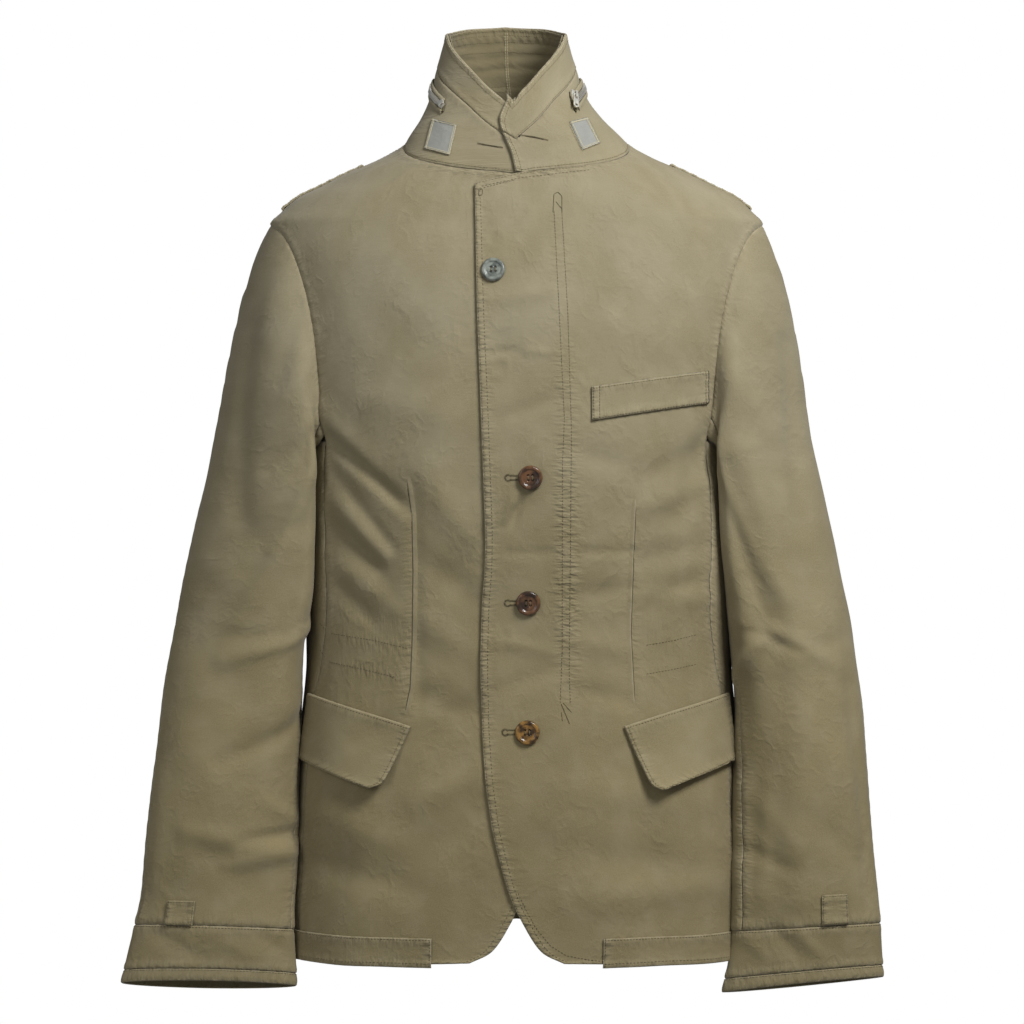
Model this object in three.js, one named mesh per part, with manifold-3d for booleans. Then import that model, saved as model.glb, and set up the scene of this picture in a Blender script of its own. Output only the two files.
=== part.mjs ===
// Military blazer in its hollow, worn form. Millimetres, +Z up, +X the wearer's left, front to -Y.
// The origin lies between the neck ends of the shoulder seams, where the wearer carries it.
import * as THREE from 'three';
import { mergeVertices } from 'three/addons/utils/BufferGeometryUtils.js';
import Module from 'manifold-3d';

const wasm = await Module();
wasm.setup();

// Cloth and clearances
const CLOTH = 1.5; // wall of the body cloth
const SEAM_GAP = 0.3; // between two pieces at a seam
const LAY_GAP = 0.4; // between a piece and what lies on it
const LAP_SHIFT = 1.5; // each front moves this far from the middle of the lap
const LAP_INNER = 38; // the lap shift is whole up to here from the middle
const LAP_OUTER = 66; // and gone from here

// Heights
const HEM = -713;
const BACK_HEM = -699; // at the middle of the back
const UNDERARM_FRONT = -262;
const UNDERARM_BACK = -258;
const UNDERARM_DIP = 10;
const SHOULDER = -76;
const CUFF_SEAM = -684;
const CUFF_BAND = -722;
const CUFF_EDGE = -733;
const ARM_TOP = -300;

// Outer form of the body: half width, depth to the front and to the back, and squareness of a ring
const BODY = [
  { z: HEM, wide: 198, front: 117, back: 121, bend: 2.4 },
  { z: -600, wide: 192, front: 115, back: 119, bend: 2.4 },
  { z: -520, wide: 186, front: 111, back: 110, bend: 2.4 },
  { z: -455, wide: 180, front: 108, back: 101, bend: 2.4 },
  { z: -360, wide: 184, front: 114, back: 103, bend: 2.4 },
  { z: -280, wide: 188, front: 119, back: 108, bend: 2.4 },
  { z: -180, wide: 202, front: 113, back: 111, bend: 2.45 },
  { z: -110, wide: 213, front: 102, back: 106, bend: 2.4 },
  { z: SHOULDER, wide: 216, front: 93, back: 99, bend: 2.35 },
  { z: -64, wide: 206, front: 90, back: 96, bend: 2.3 },
  { z: -52, wide: 192, front: 86, back: 92, bend: 2.25 },
  { z: -42, wide: 172, front: 82, back: 87, bend: 2.2 },
  { z: -30, wide: 148, front: 78, back: 82, bend: 2.15 },
  { z: -17, wide: 118, front: 71, back: 76, bend: 2.1 },
  { z: 0, wide: 90, front: 62, back: 69, bend: 2.0 },
  { z: 14, wide: 76, front: 56, back: 62, bend: 2.0 },
];

// Height of the neck seam by angle, -90 at the middle of the front and 90 at the middle of the back
const NECK_SEAM = [
  { angle: -90, z: -37 },
  { angle: -55, z: -31 },
  { angle: -40, z: -26 },
  { angle: -29, z: -20 },
  { angle: -15, z: -10 },
  { angle: 0, z: -2 },
  { angle: 30, z: 4 },
  { angle: 60, z: 8 },
  { angle: 90, z: 9 },
];

// Front edge of a front panel: x is towards its own side, so the edge crosses the middle.
// t is 0 where the rounded corner meets the hem, 1 level with the underarm, 1.5 at the top.
const FRONT_EDGE = [
  { t: 0, x: 40, z: -709 },
  { t: 0.03, x: 22, z: -700 },
  { t: 0.07, x: 5, z: -675 },
  { t: 0.12, x: -6, z: -652 },
  { t: 0.18, x: -14, z: -625 },
  { t: 0.26, x: -22, z: -590 },
  { t: 0.36, x: -28, z: -538 },
  { t: 0.52, x: -31, z: -469 },
  { t: 0.64, x: -30, z: -412 },
  { t: 0.74, x: -27, z: -364 },
  { t: 1, x: -30, z: -258 },
  { t: 1.25, x: -34, z: -150 },
  { t: 1.5, x: -36, z: -46 },
];
const EDGE_TOP = 1.5;

// Seams between the side body and its neighbours, x by height
const SEAM_FRONT = [
  { z: HEM, x: 186 },
  { z: -560, x: 179 },
  { z: -489, x: 172 },
  { z: -459, x: 165 },
  { z: -404, x: 160 },
  { z: -347, x: 164 },
  { z: UNDERARM_FRONT, x: 166 },
];
const SEAM_BACK = [
  { z: HEM, x: 166 },
  { z: -560, x: 157 },
  { z: -455, x: 146 },
  { z: -350, x: 155 },
  { z: UNDERARM_BACK, x: 164 },
];

// Armhole edges, t is 0 at the side body and 1 at the shoulder point
const ARMHOLE_FRONT = [
  { t: 0, x: 166, z: UNDERARM_FRONT },
  { t: 0.1, x: 168, z: -245 },
  { t: 0.27, x: 171, z: -213 },
  { t: 0.43, x: 174, z: -182 },
  { t: 0.58, x: 179, z: -152 },
  { t: 0.72, x: 186, z: -125 },
  { t: 0.86, x: 196, z: -99 },
  { t: 0.94, x: 205, z: -85 },
  { t: 1, x: 216, z: SHOULDER },
];
const ARMHOLE_BACK = [
  { t: 0, x: 164, z: UNDERARM_BACK },
  { t: 0.3, x: 171, z: -214 },
  { t: 0.55, x: 180, z: -165 },
  { t: 0.8, x: 195, z: -113 },
  { t: 0.93, x: 207, z: -88 },
  { t: 1, x: 216, z: SHOULDER },
];

// Folds, each a soft ridge or trough along a line in the view from the front, x in the world
const FOLDS = [
  { side: 'front', x0: -160, z0: -268, x1: -98, z1: -325, width: 11, height: -4.5 },
  { side: 'front', x0: -166, z0: -240, x1: -120, z1: -300, width: 10, height: 4 },
  { side: 'front', x0: -156, z0: -345, x1: -118, z1: -378, width: 10, height: -3.5 },
  { side: 'front', x0: 166, z0: -262, x1: 138, z1: -330, width: 12, height: -4 },
  { side: 'front', x0: 150, z0: -385, x1: 118, z1: -402, width: 10, height: -3 },
  { side: 'front', x0: -31, z0: -352, x1: -66, z1: -396, width: 13, height: -3.5 },
  { side: 'front', x0: -33, z0: -486, x1: -70, z1: -520, width: 16, height: -4 },
  { side: 'front', x0: -40, z0: -588, x1: -98, z1: -630, width: 20, height: -4 },
  { side: 'front', x0: 60, z0: -560, x1: 66, z1: -690, width: 22, height: 3.5 },
  { side: 'front', x0: 110, z0: -585, x1: 126, z1: -700, width: 20, height: -3.5 },
  { side: 'front', x0: -120, z0: -580, x1: -138, z1: -700, width: 20, height: 3.5 },
  { side: 'front', x0: 8, z0: -316, x1: -12, z1: -338, width: 7, height: -2 },
  { side: 'back', x0: 150, z0: -240, x1: 80, z1: -320, width: 14, height: -5 },
  { side: 'back', x0: -150, z0: -250, x1: -70, z1: -300, width: 14, height: -5 },
  { side: 'back', x0: 60, z0: -480, x1: 72, z1: -700, width: 24, height: 5 },
  { side: 'back', x0: -52, z0: -500, x1: -70, z1: -700, width: 26, height: 5 },
  { side: 'back', x0: 110, z0: -440, x1: 30, z1: -468, width: 12, height: -4 },
  { side: 'back', x0: -120, z0: -448, x1: -24, z1: -462, width: 12, height: -4 },
];
const FOLD_FADE = 40; // depth over which a fold dies towards the side of the body

// Sleeves, x and y of the middle of a section, its half width and half depth, its turn (the front of
// the sleeve towards the body), how far it hugs the body, squareness, how far its back edge drops and
// how far its outer side rises
const SLEEVE = {
  right: [
    { z: ARM_TOP, x: 233, y: -6, wide: 39, deep: 76, turn: 8, hug: 40, bend: 2.1, drop: 0, rise: 0 },
    { z: -350, x: 239, y: -10, wide: 44, deep: 70, turn: 10, hug: 38, bend: 2.1, drop: 0, rise: 0 },
    { z: -400, x: 243, y: -15, wide: 50, deep: 63, turn: 10, hug: 34, bend: 2.1, drop: 0, rise: 0 },
    { z: -487, x: 250, y: -28, wide: 57, deep: 54, turn: 10, hug: 14, bend: 2.1, drop: 1, rise: 0 },
    { z: -598, x: 256, y: -48, wide: 62, deep: 40, turn: 8, hug: 0, bend: 2.0, drop: 2, rise: 0 },
    { z: -652, x: 259, y: -56, wide: 63.5, deep: 32, turn: 6, hug: 0, bend: 1.9, drop: 3, rise: 2 },
    { z: CUFF_SEAM, x: 261, y: -65, wide: 67, deep: 26, turn: 4, hug: 0, bend: 1.8, drop: 4, rise: 2.6 },
    { z: CUFF_EDGE, x: 265, y: -70, wide: 74, deep: 20, turn: 4, hug: 0, bend: 1.8, drop: 6, rise: 2 },
  ],
  left: [
    { z: ARM_TOP, x: 229, y: -6, wide: 36, deep: 76, turn: 8, hug: 36, bend: 2.1, drop: 0, rise: 0 },
    { z: -369, x: 237, y: -14, wide: 43, deep: 66, turn: 8, hug: 30, bend: 2.1, drop: 0, rise: 0 },
    { z: -435, x: 243, y: -24, wide: 49, deep: 58, turn: 8, hug: 14, bend: 2.1, drop: 1, rise: 0 },
    { z: -511, x: 249, y: -36, wide: 52, deep: 50, turn: 8, hug: 6, bend: 2.1, drop: 2, rise: 0 },
    { z: -570, x: 249, y: -46, wide: 55, deep: 43, turn: 6, hug: 0, bend: 2.0, drop: 2, rise: 1 },
    { z: -631, x: 250, y: -57, wide: 58, deep: 34, turn: 5, hug: 0, bend: 1.9, drop: 3, rise: 2 },
    { z: CUFF_SEAM, x: 249.5, y: -66, wide: 62, deep: 27, turn: 3, hug: 0, bend: 1.8, drop: 3, rise: 4 },
    { z: CUFF_EDGE, x: 246, y: -71, wide: 68, deep: 20, turn: 2, hug: 0, bend: 1.8, drop: 4, rise: 7 },
  ],
};
const BACK_HUG = 0.5; // share of the hug that the back of a sleeve has
// Folds of the sleeves: ring angle and height of both ends, 0 is the outside and 90 the front
const SLEEVE_FOLDS = {
  right: [
    { a0: 20, z0: -170, a1: 45, z1: -330, width: 9, height: 3 },
    { a0: 110, z0: -250, a1: 60, z1: -420, width: 9, height: -3.5 },
    { a0: 150, z0: -420, a1: 60, z1: -455, width: 8, height: -4 },
    { a0: 160, z0: -500, a1: 80, z1: -540, width: 9, height: 3 },
    { a0: 60, z0: -600, a1: 150, z1: -620, width: 9, height: -3 },
    { a0: 250, z0: -410, a1: 330, z1: -450, width: 9, height: -4 },
    { a0: 240, z0: -520, a1: 320, z1: -560, width: 9, height: 3 },
  ],
  left: [
    { a0: 15, z0: -180, a1: 40, z1: -340, width: 9, height: 3 },
    { a0: 110, z0: -250, a1: 70, z1: -400, width: 9, height: -3 },
    { a0: 150, z0: -470, a1: 90, z1: -430, width: 8, height: -4 },
    { a0: 90, z0: -430, a1: 40, z1: -460, width: 8, height: -4 },
    { a0: 30, z0: -480, a1: 26, z1: -680, width: 11, height: 3 },
    { a0: 120, z0: -560, a1: 130, z1: -660, width: 10, height: -3 },
    { a0: 240, z0: -430, a1: 320, z1: -470, width: 9, height: -4 },
  ],
};
const SLEEVE_FOLD_DEGREES = 1.1; // mm of arc counted for a degree when a fold's width is applied
const ARMHOLE_SPLIT = { front: 150, back: 205 }; // ring angles where the side body begins and ends
// Sleeve seams as ring angles at the armhole and at the cuff
const SLEEVE_SEAMS = {
  right: { innerTop: 140, innerEnd: 166, outerTop: -40, outerEnd: 12 },
  left: { innerTop: 136, innerEnd: 152, outerTop: -40, outerEnd: -8 },
};

// Collar: rings of the neck funnel, which leans to one side, and heights of its top edge and of the
// seam of its upper band
const COLLAR = [
  { z: -40, wide: 100, front: 80, back: 74, lean: 0 },
  { z: -4, wide: 88, front: 73, back: 68, lean: -3.5 },
  { z: 17, wide: 74.5, front: 68, back: 65, lean: -6 },
  { z: 34, wide: 66.5, front: 64, back: 62, lean: -8 },
  { z: 57, wide: 60.5, front: 59, back: 59, lean: -9.5 },
  { z: 75, wide: 56, front: 54, back: 57, lean: -10 },
  { z: 94, wide: 51, front: 48, back: 55, lean: -10 },
  { z: 110, wide: 48, front: 44, back: 53, lean: -10 },
];
const COLLAR_BEND = 2.1;
const COLLAR_TOP = [
  { angle: -90, z: 25 },
  { angle: -74, z: 41 },
  { angle: -59, z: 57 },
  { angle: -36, z: 76 },
  { angle: -12, z: 91 },
  { angle: 20, z: 97 },
  { angle: 55, z: 104 },
  { angle: 90, z: 107 },
];
const COLLAR_BAND_SEAM = [
  { angle: -90, z: -10 },
  { angle: -74, z: -2 },
  { angle: -50, z: 23 },
  { angle: -30, z: 42 },
  { angle: -10, z: 57 },
  { angle: 30, z: 70 },
  { angle: 90, z: 78 },
];
const COLLAR_END = { left: -98, right: 276 }; // world angles of the two ends, which lap
// How far the end on top draws back at a height, and the angle from which it starts to
const COLLAR_DRAW = [
  { z: -34, angle: 7 },
  { z: -22, angle: 6 },
  { z: 9, angle: 0 },
  { z: 28, angle: 7 },
];
const DRAW_FROM = -78;
const NECK_START = 1.6; // the collar starts this far above the neck seam
const INNER_COLLAR = { from: -72, to: 252, behind: 3, thick: 1.2, lower: 6 };
// Zip line by world angle: it runs round the back from the slider to the stop
const ZIP_LINE = [
  { angle: -43, z: 21 },
  { angle: -36, z: 29 },
  { angle: -15, z: 42 },
  { angle: 0, z: 47 },
  { angle: 90, z: 50 },
  { angle: 180, z: 47 },
  { angle: 192, z: 42 },
  { angle: 204, z: 35 },
  { angle: 222, z: 22 },
];
const ZIP = { width: 9, thick: 1.2, clear: 0.3 };
const ZIP_STOP = { angle: 218.5, above: 1.5, leanX: 0.6, leanZ: -0.8, long: 4.5, wide: 6, thick: 1.6 };
const SLIDER = { x: 47, z: 31, leanX: -0.35, leanZ: -0.94, long: 10, wide: 7.5, thick: 2.2 };
// The bridge over the slider, and the pull whose pin passes under it
const BRIDGE = { reach: 3.4, wide: 1.8, bar: 0.9, rise: 2.1 };
const PULL = { pin: 1.2, window: 4, arm: 1.3, inside: 3, long: 14, wide: 5.6, hole: 1.3, tilt: 3 };

// What lies on the fronts, x towards its own side
const CHEST_WELT = {
  inner: 63, outer: 163, innerTop: -221, outerTop: -206, innerLow: -250, outerLow: -234, thick: 1.8,
};
const FLAP = {
  frontTop: { x: 90, z: -509 },
  backTop: { x: 174, z: -484 },
  frontLow: { x: 112, z: -563 },
  backLow: { x: 182, z: -541 },
  corner: 9, // rounding of the lower front corner
  standOff: 6, // how far the lower front corner stands off
  clear: 0.7, // its top edge over the round of the hip
};
const FLAP_THICK = 2.2;
const HEM_BAND = { start: 72, height: 25, thick: 1.2, clear: 0.3 };
const BUTTONS = [
  { name: 'button_grey', x: -20, z: -122, radius: 10.2, colour: '#6f7b76' },
  { name: 'button_horn_1', x: 11.4, z: -298, radius: 10.4, colour: '#4a3527' },
  { name: 'button_horn_2', x: 9.7, z: -404, radius: 10.4, colour: '#3f2f26' },
  { name: 'button_horn_3', x: 8.9, z: -514, radius: 10.4, colour: '#5b4423' },
];
const BUTTON = { thick: 3.2, bevel: 0.9, hole: 0.95, holeOut: 1.9, curve: 5 };
const STRAP = { top: -24, end: -63, from: 1.5, width: 36, thick: 1.8 };
const TABS = {
  right: { from: 50, to: 73, low: -686, high: -663 },
  left: { from: 54, to: 77, low: -683, high: -657 },
};
// Hook-and-loop patches on the collar, corners in the view from the front, x towards the own side
const PATCHES = {
  right: { highIn: [51.5, 6], highOut: [72, 12.5], lowOut: [79, -14], lowIn: [57.5, -21] },
  left: { highIn: [44.5, 8], highOut: [60.5, 13.5], lowOut: [71.5, -9.5], lowIn: [56, -16.5] },
};
const PATCH_THICK = 1.2;

const COLOURS = {
  cloth: '#8d8466',
  clothDark: '#7d7455',
  patch: '#9da09a',
  zip: '#b5b3ab',
};

const RAD = Math.PI / 180;
const SIDES = { right: -1, left: 1 };

function sample(table, key, column, at) {
  const last = table.length - 1;
  if (at <= table[0][key]) return table[0][column];
  if (at >= table[last][key]) return table[last][column];
  let i = 0;
  while (table[i + 1][key] < at) i += 1;
  const slope = (k) => (table[k + 1][column] - table[k][column]) / (table[k + 1][key] - table[k][key]);
  const tangent = (k) => {
    if (k === 0) return slope(0);
    if (k === last) return slope(last - 1);
    const product = slope(k - 1) * slope(k);
    return product <= 0 ? 0 : (2 * product) / (slope(k - 1) + slope(k));
  };
  const span = table[i + 1][key] - table[i][key];
  const t = (at - table[i][key]) / span;
  const rise = table[i + 1][column] - table[i][column];
  const bow = (1 - t) * (tangent(i) * span - rise) + t * (rise - tangent(i + 1) * span);
  return table[i][column] + t * rise + t * (1 - t) * bow;
}

function smooth(from, to, at) {
  const t = THREE.MathUtils.clamp((at - from) / (to - from), 0, 1);
  return t * t * (3 - 2 * t);
}

function mix(a, b, t) {
  return a + (b - a) * t;
}

// Height of a soft ridge or trough at a point, from its distance to the fold's line
function foldHeight(px, pz, x0, z0, x1, z1, width, height) {
  const dx = x1 - x0;
  const dz = z1 - z0;
  const along = THREE.MathUtils.clamp(((px - x0) * dx + (pz - z0) * dz) / (dx * dx + dz * dz), 0, 1);
  const away = Math.hypot(px - x0 - along * dx, pz - z0 - along * dz);
  const taper = 0.35 + 0.65 * Math.sin(Math.PI * (0.15 + 0.7 * along));
  return height * taper * Math.exp(-((away / width) ** 2));
}

function ringRadius(angle, wide, deep, bend) {
  const across = Math.abs(Math.cos(angle)) / wide;
  const along = Math.abs(Math.sin(angle)) / deep;
  return (across ** bend + along ** bend) ** (-1 / bend);
}

// Middle surface of the body cloth at a polar angle in degrees and a height
function bodyPoint(degrees, z) {
  const angle = degrees * RAD;
  const wide = sample(BODY, 'z', 'wide', z);
  const deep = sample(BODY, 'z', Math.sin(angle) < 0 ? 'front' : 'back', z);
  const radius = ringRadius(angle, wide, deep, sample(BODY, 'z', 'bend', z));
  const x = radius * Math.cos(angle);
  const y = radius * Math.sin(angle);
  const fade = smooth(0, FOLD_FADE, Math.abs(y));
  const side = y < 0 ? 'front' : 'back';
  let fold = 0;
  for (const f of FOLDS) {
    if (f.side === side) fold += foldHeight(x, z, f.x0, f.z0, f.x1, f.z1, f.width, f.height);
  }
  const grown = radius + fold * fade;
  return new THREE.Vector3(grown * Math.cos(angle), grown * Math.sin(angle), z);
}

// Polar angle in degrees of the body's front (-1) or back (1) at an x and a height
function bodyAngle(x, z, facing) {
  const wide = sample(BODY, 'z', 'wide', z);
  const deep = sample(BODY, 'z', facing < 0 ? 'front' : 'back', z);
  const bend = sample(BODY, 'z', 'bend', z);
  const share = Math.min(Math.abs(x) / wide, 1);
  const y = facing * deep * (1 - share ** bend) ** (1 / bend);
  return Math.atan2(y, x) / RAD;
}

// Point and normal of a surface given as a function of two numbers, from small steps
function frameOf(surface, a, b, stepA, stepB) {
  const point = surface(a, b);
  const alongA = surface(a + stepA, b).sub(surface(a - stepA, b));
  const alongB = surface(a, b + stepB).sub(surface(a, b - stepB));
  const normal = alongA.cross(alongB).normalize();
  return { point, normal };
}

function bodyFrame(degrees, z) {
  return frameOf(bodyPoint, degrees, z, 0.2, 0.5);
}

// Shift of a front in the lap: the left one outwards, the right one inwards
function lapShift(side, x) {
  const own = Math.abs(x);
  return SIDES[side] * LAP_SHIFT * (1 - smooth(LAP_INNER, LAP_OUTER, own));
}

// A front's cloth at a polar angle and height, moved out by a distance
function frontFrame(side, degrees, z, out = 0) {
  const { point, normal } = bodyFrame(degrees, z);
  point.addScaledVector(normal, out + lapShift(side, point.x));
  return { point, normal };
}

function volumeOf(vertices, triangles) {
  let total = 0;
  const corner = (i) => new THREE.Vector3().fromArray(vertices, 3 * i);
  for (let k = 0; k < triangles.length; k += 3) {
    const a = corner(triangles[k]);
    const b = corner(triangles[k + 1]);
    const c = corner(triangles[k + 2]);
    total += a.dot(b.cross(c));
  }
  return total;
}

// Closed wall of a thickness about a grid of frames; a tube joins its last column to its first
function clothWall({ columns, rows, at, thickness = CLOTH, tube = false }) {
  const around = tube ? columns : columns + 1;
  const vertices = [];
  for (const side of [0.5, -0.5]) {
    for (let j = 0; j <= rows; j += 1) {
      for (let i = 0; i < around; i += 1) {
        const { point, normal } = at(i / columns, j / rows);
        vertices.push(...point.clone().addScaledVector(normal, side * thickness).toArray());
      }
    }
  }
  const inner = around * (rows + 1);
  const id = (i, j) => j * around + (i % around);
  const triangles = [];
  for (let j = 0; j < rows; j += 1) {
    for (let i = 0; i < columns; i += 1) {
      const [a, b, c, d] = [id(i, j), id(i + 1, j), id(i + 1, j + 1), id(i, j + 1)];
      triangles.push(a, b, c, a, c, d);
      triangles.push(a + inner, c + inner, b + inner, a + inner, d + inner, c + inner);
    }
  }
  const rim = (from, to) => triangles.push(to, from, from + inner, to, from + inner, to + inner);
  for (let i = 0; i < columns; i += 1) {
    rim(id(i, 0), id(i + 1, 0));
    rim(id(i + 1, rows), id(i, rows));
  }
  for (let j = 0; j < rows && !tube; j += 1) {
    rim(id(columns, j), id(columns, j + 1));
    rim(id(0, j + 1), id(0, j));
  }
  if (volumeOf(vertices, triangles) < 0) triangles.reverse();
  const geometry = new THREE.BufferGeometry();
  geometry.setAttribute('position', new THREE.Float32BufferAttribute(vertices, 3));
  geometry.setIndex(triangles);
  return geometry;
}

const blazer = new THREE.Group();

function addPiece(name, geometry, colour = COLOURS.cloth, roughness = 0.9, metalness = 0) {
  const material = new THREE.MeshStandardMaterial({ color: colour, roughness, metalness });
  const mesh = new THREE.Mesh(geometry, material);
  mesh.name = name;
  blazer.add(mesh);
  return mesh;
}

// Body panels
const LOW_ROWS = 14; // hem to underarm
const HIGH_ROWS = 13; // underarm to shoulder seam
const LOW_CROWDING = 1.45; // gathers rows towards the rounded corner
const FRONT_COLUMNS = 14;
const SIDE_COLUMNS = 6;
const BACK_COLUMNS = 9;
const COLLAR_COLUMNS = 34;
const GAP_DEGREES = 0.06; // half a seam gap on the body, as an angle

// Row number to t: 0 to 1 below the underarm, 1 to 2 above it
function rowT(row) {
  if (row <= LOW_ROWS) return (row / LOW_ROWS) ** LOW_CROWDING;
  return 1 + (row - LOW_ROWS) / HIGH_ROWS;
}

function seamHeight(t, facing) {
  return mix(HEM, facing < 0 ? UNDERARM_FRONT : UNDERARM_BACK, t);
}

// Own-side angle and height of a panel's outer boundary: side seam, then armhole
function outerBoundary(t, facing) {
  if (t <= 1) {
    const z = seamHeight(t, facing);
    const x = sample(facing < 0 ? SEAM_FRONT : SEAM_BACK, 'z', 'x', z);
    return { angle: bodyAngle(x, z, facing) + facing * GAP_DEGREES, z };
  }
  const table = facing < 0 ? ARMHOLE_FRONT : ARMHOLE_BACK;
  const z = sample(table, 't', 'z', t - 1);
  const angle = bodyAngle(sample(table, 't', 'x', t - 1), z, facing);
  return { angle: t >= 2 ? facing * GAP_DEGREES : angle + facing * GAP_DEGREES, z };
}

// Front edge, then neck seam
function frontInner(t) {
  if (t <= EDGE_TOP) {
    const z = sample(FRONT_EDGE, 't', 'z', t);
    return { angle: bodyAngle(sample(FRONT_EDGE, 't', 'x', t), z, -1), z };
  }
  const share = (t - EDGE_TOP) / (2 - EDGE_TOP);
  const top = frontInner(EDGE_TOP);
  const angle = mix(top.angle, -GAP_DEGREES, share);
  const z = angle < -90 ? mix(top.z, NECK_SEAM[0].z, (angle - top.angle) / (-90 - top.angle))
    : sample(NECK_SEAM, 'angle', 'z', angle);
  return { angle, z };
}

// Back seam, then neck seam
const BACK_TOP = 1.6;
function backInner(t) {
  const neck = NECK_SEAM[NECK_SEAM.length - 1].z;
  if (t <= 1) return { angle: 90 - GAP_DEGREES, z: mix(BACK_HEM, UNDERARM_BACK, t) };
  if (t <= BACK_TOP) {
    return { angle: 90 - GAP_DEGREES, z: mix(UNDERARM_BACK, neck, (t - 1) / (BACK_TOP - 1)) };
  }
  const angle = mix(90 - GAP_DEGREES, GAP_DEGREES, (t - BACK_TOP) / (2 - BACK_TOP));
  return { angle, z: sample(NECK_SEAM, 'angle', 'z', angle) };
}

// Own-side angle to the world's
function worldAngle(side, angle) {
  return side === 'left' ? angle : 180 - angle;
}

function frontPanel(side) {
  const rows = LOW_ROWS + HIGH_ROWS;
  const at = (u, v) => {
    const t = rowT(Math.round(v * rows));
    const from = frontInner(t);
    const to = outerBoundary(t, -1);
    const angle = worldAngle(side, mix(from.angle, to.angle, u));
    return frontFrame(side, angle, mix(from.z, to.z, u));
  };
  return clothWall({ columns: FRONT_COLUMNS, rows, at });
}

function backPanel(side) {
  const rows = LOW_ROWS + HIGH_ROWS;
  const at = (u, v) => {
    const t = rowT(Math.round(v * rows));
    const from = backInner(t);
    const to = outerBoundary(t, 1);
    return bodyFrame(worldAngle(side, mix(from.angle, to.angle, u)), mix(from.z, to.z, u));
  };
  return clothWall({ columns: BACK_COLUMNS, rows, at });
}

// Top of the side body, from its front seam (0) to its back seam (1)
function underarmHeight(share) {
  return mix(UNDERARM_FRONT, UNDERARM_BACK, share) - UNDERARM_DIP * Math.sin(Math.PI * share);
}

function sideAngle(share, t) {
  const front = outerBoundary(Math.min(t, 1), -1).angle + 2 * GAP_DEGREES;
  const back = outerBoundary(Math.min(t, 1), 1).angle - 2 * GAP_DEGREES;
  return mix(front, back, share);
}

function sideBody(side) {
  const at = (u, v) => {
    const t = rowT(Math.round(v * LOW_ROWS));
    return bodyFrame(worldAngle(side, sideAngle(u, t)), mix(HEM, underarmHeight(u), t));
  };
  return clothWall({ columns: SIDE_COLUMNS, rows: LOW_ROWS, at });
}

// Armhole edge by ring angle: 0 at the shoulder point, 90 at the front, 180 under the arm
function armholeSpot(degrees) {
  const ring = ((degrees % 360) + 360) % 360;
  const { front, back } = ARMHOLE_SPLIT;
  if (ring < front) return outerBoundary(2 - ring / front, -1);
  if (ring > back) return outerBoundary(1 + (ring - back) / (360 - back), 1);
  const share = (ring - front) / (back - front);
  return { angle: sideAngle(share, 1), z: underarmHeight(share) };
}

const SLEEVE_START = 1.7; // clearance between the armhole's edge and the middle of the sleeve's cloth
const SLEEVE_LIFT = 4.5; // and its clearance where it leaves the body square to the cloth
const CAP_LEAVE = [
  { ring: 0, x: 0.46, y: 0, z: -0.89 },
  { ring: 60, x: 0.52, y: -0.4, z: -0.76 },
  { ring: 110, x: 0.45, y: -0.6, z: -0.66 },
  { ring: 180, x: 0.8, y: 0, z: -0.6 },
  { ring: 260, x: 0.45, y: 0.6, z: -0.66 },
  { ring: 310, x: 0.52, y: 0.4, z: -0.76 },
  { ring: 360, x: 0.46, y: 0, z: -0.89 },
];

// A frame of the body's cloth with x towards its own side
function ownFrame(side, angle, z) {
  return toSide(side, bodyFrame(worldAngle(side, angle), z));
}

// The sleeve's first ring and the way it leaves the armhole, with x towards its own side
function capStart(side, degrees) {
  const spot = (d) => {
    const place = armholeSpot(d);
    return ownFrame(side, place.angle, place.z).point;
  };
  const { angle, z } = armholeSpot(degrees);
  const { point, normal } = ownFrame(side, angle, z);
  const along = spot(degrees + 1).sub(spot(degrees - 1)).normalize();
  const away = normal.clone().cross(along).normalize();
  const ring = ((degrees % 360) + 360) % 360;
  const leave = new THREE.Vector3(
    sample(CAP_LEAVE, 'ring', 'x', ring),
    sample(CAP_LEAVE, 'ring', 'y', ring),
    sample(CAP_LEAVE, 'ring', 'z', ring),
  ).normalize();
  const turn = (1 - leave.dot(away)) / 2;
  point.addScaledVector(away, SLEEVE_START).addScaledVector(normal, SLEEVE_LIFT * turn);
  return { point, leave };
}

// Ring of the arm at an angle and height, on the left side
function armPoint(side, degrees, z) {
  const rows = [...SLEEVE[side]].reverse();
  const get = (column) => sample(rows, 'z', column, z);
  const ring = degrees * RAD;
  const power = 2 / get('bend');
  const across = get('wide') * Math.sign(Math.cos(ring)) * Math.abs(Math.cos(ring)) ** power;
  const along = get('deep') * Math.sign(Math.sin(ring)) * Math.abs(Math.sin(ring)) ** power;
  const turn = get('turn') * RAD;
  const share = along / get('deep');
  const hug = get('hug') * share ** 2 * (share < 0 ? BACK_HUG : 1);
  const lower = get('drop') * share + (get('rise') * across) / get('wide');
  return new THREE.Vector3(
    get('x') + across * Math.cos(turn) - along * Math.sin(turn) - hug,
    get('y') - across * Math.sin(turn) - along * Math.cos(turn),
    z + lower,
  );
}

function sleeveFold(side, degrees, z) {
  const ring = ((degrees % 360) + 360) % 360;
  let total = 0;
  for (const f of SLEEVE_FOLDS[side]) {
    const scale = SLEEVE_FOLD_DEGREES;
    total += foldHeight(ring * scale, z, f.a0 * scale, f.z0, f.a1 * scale, f.z1, f.width, f.height);
  }
  return total;
}

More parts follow.
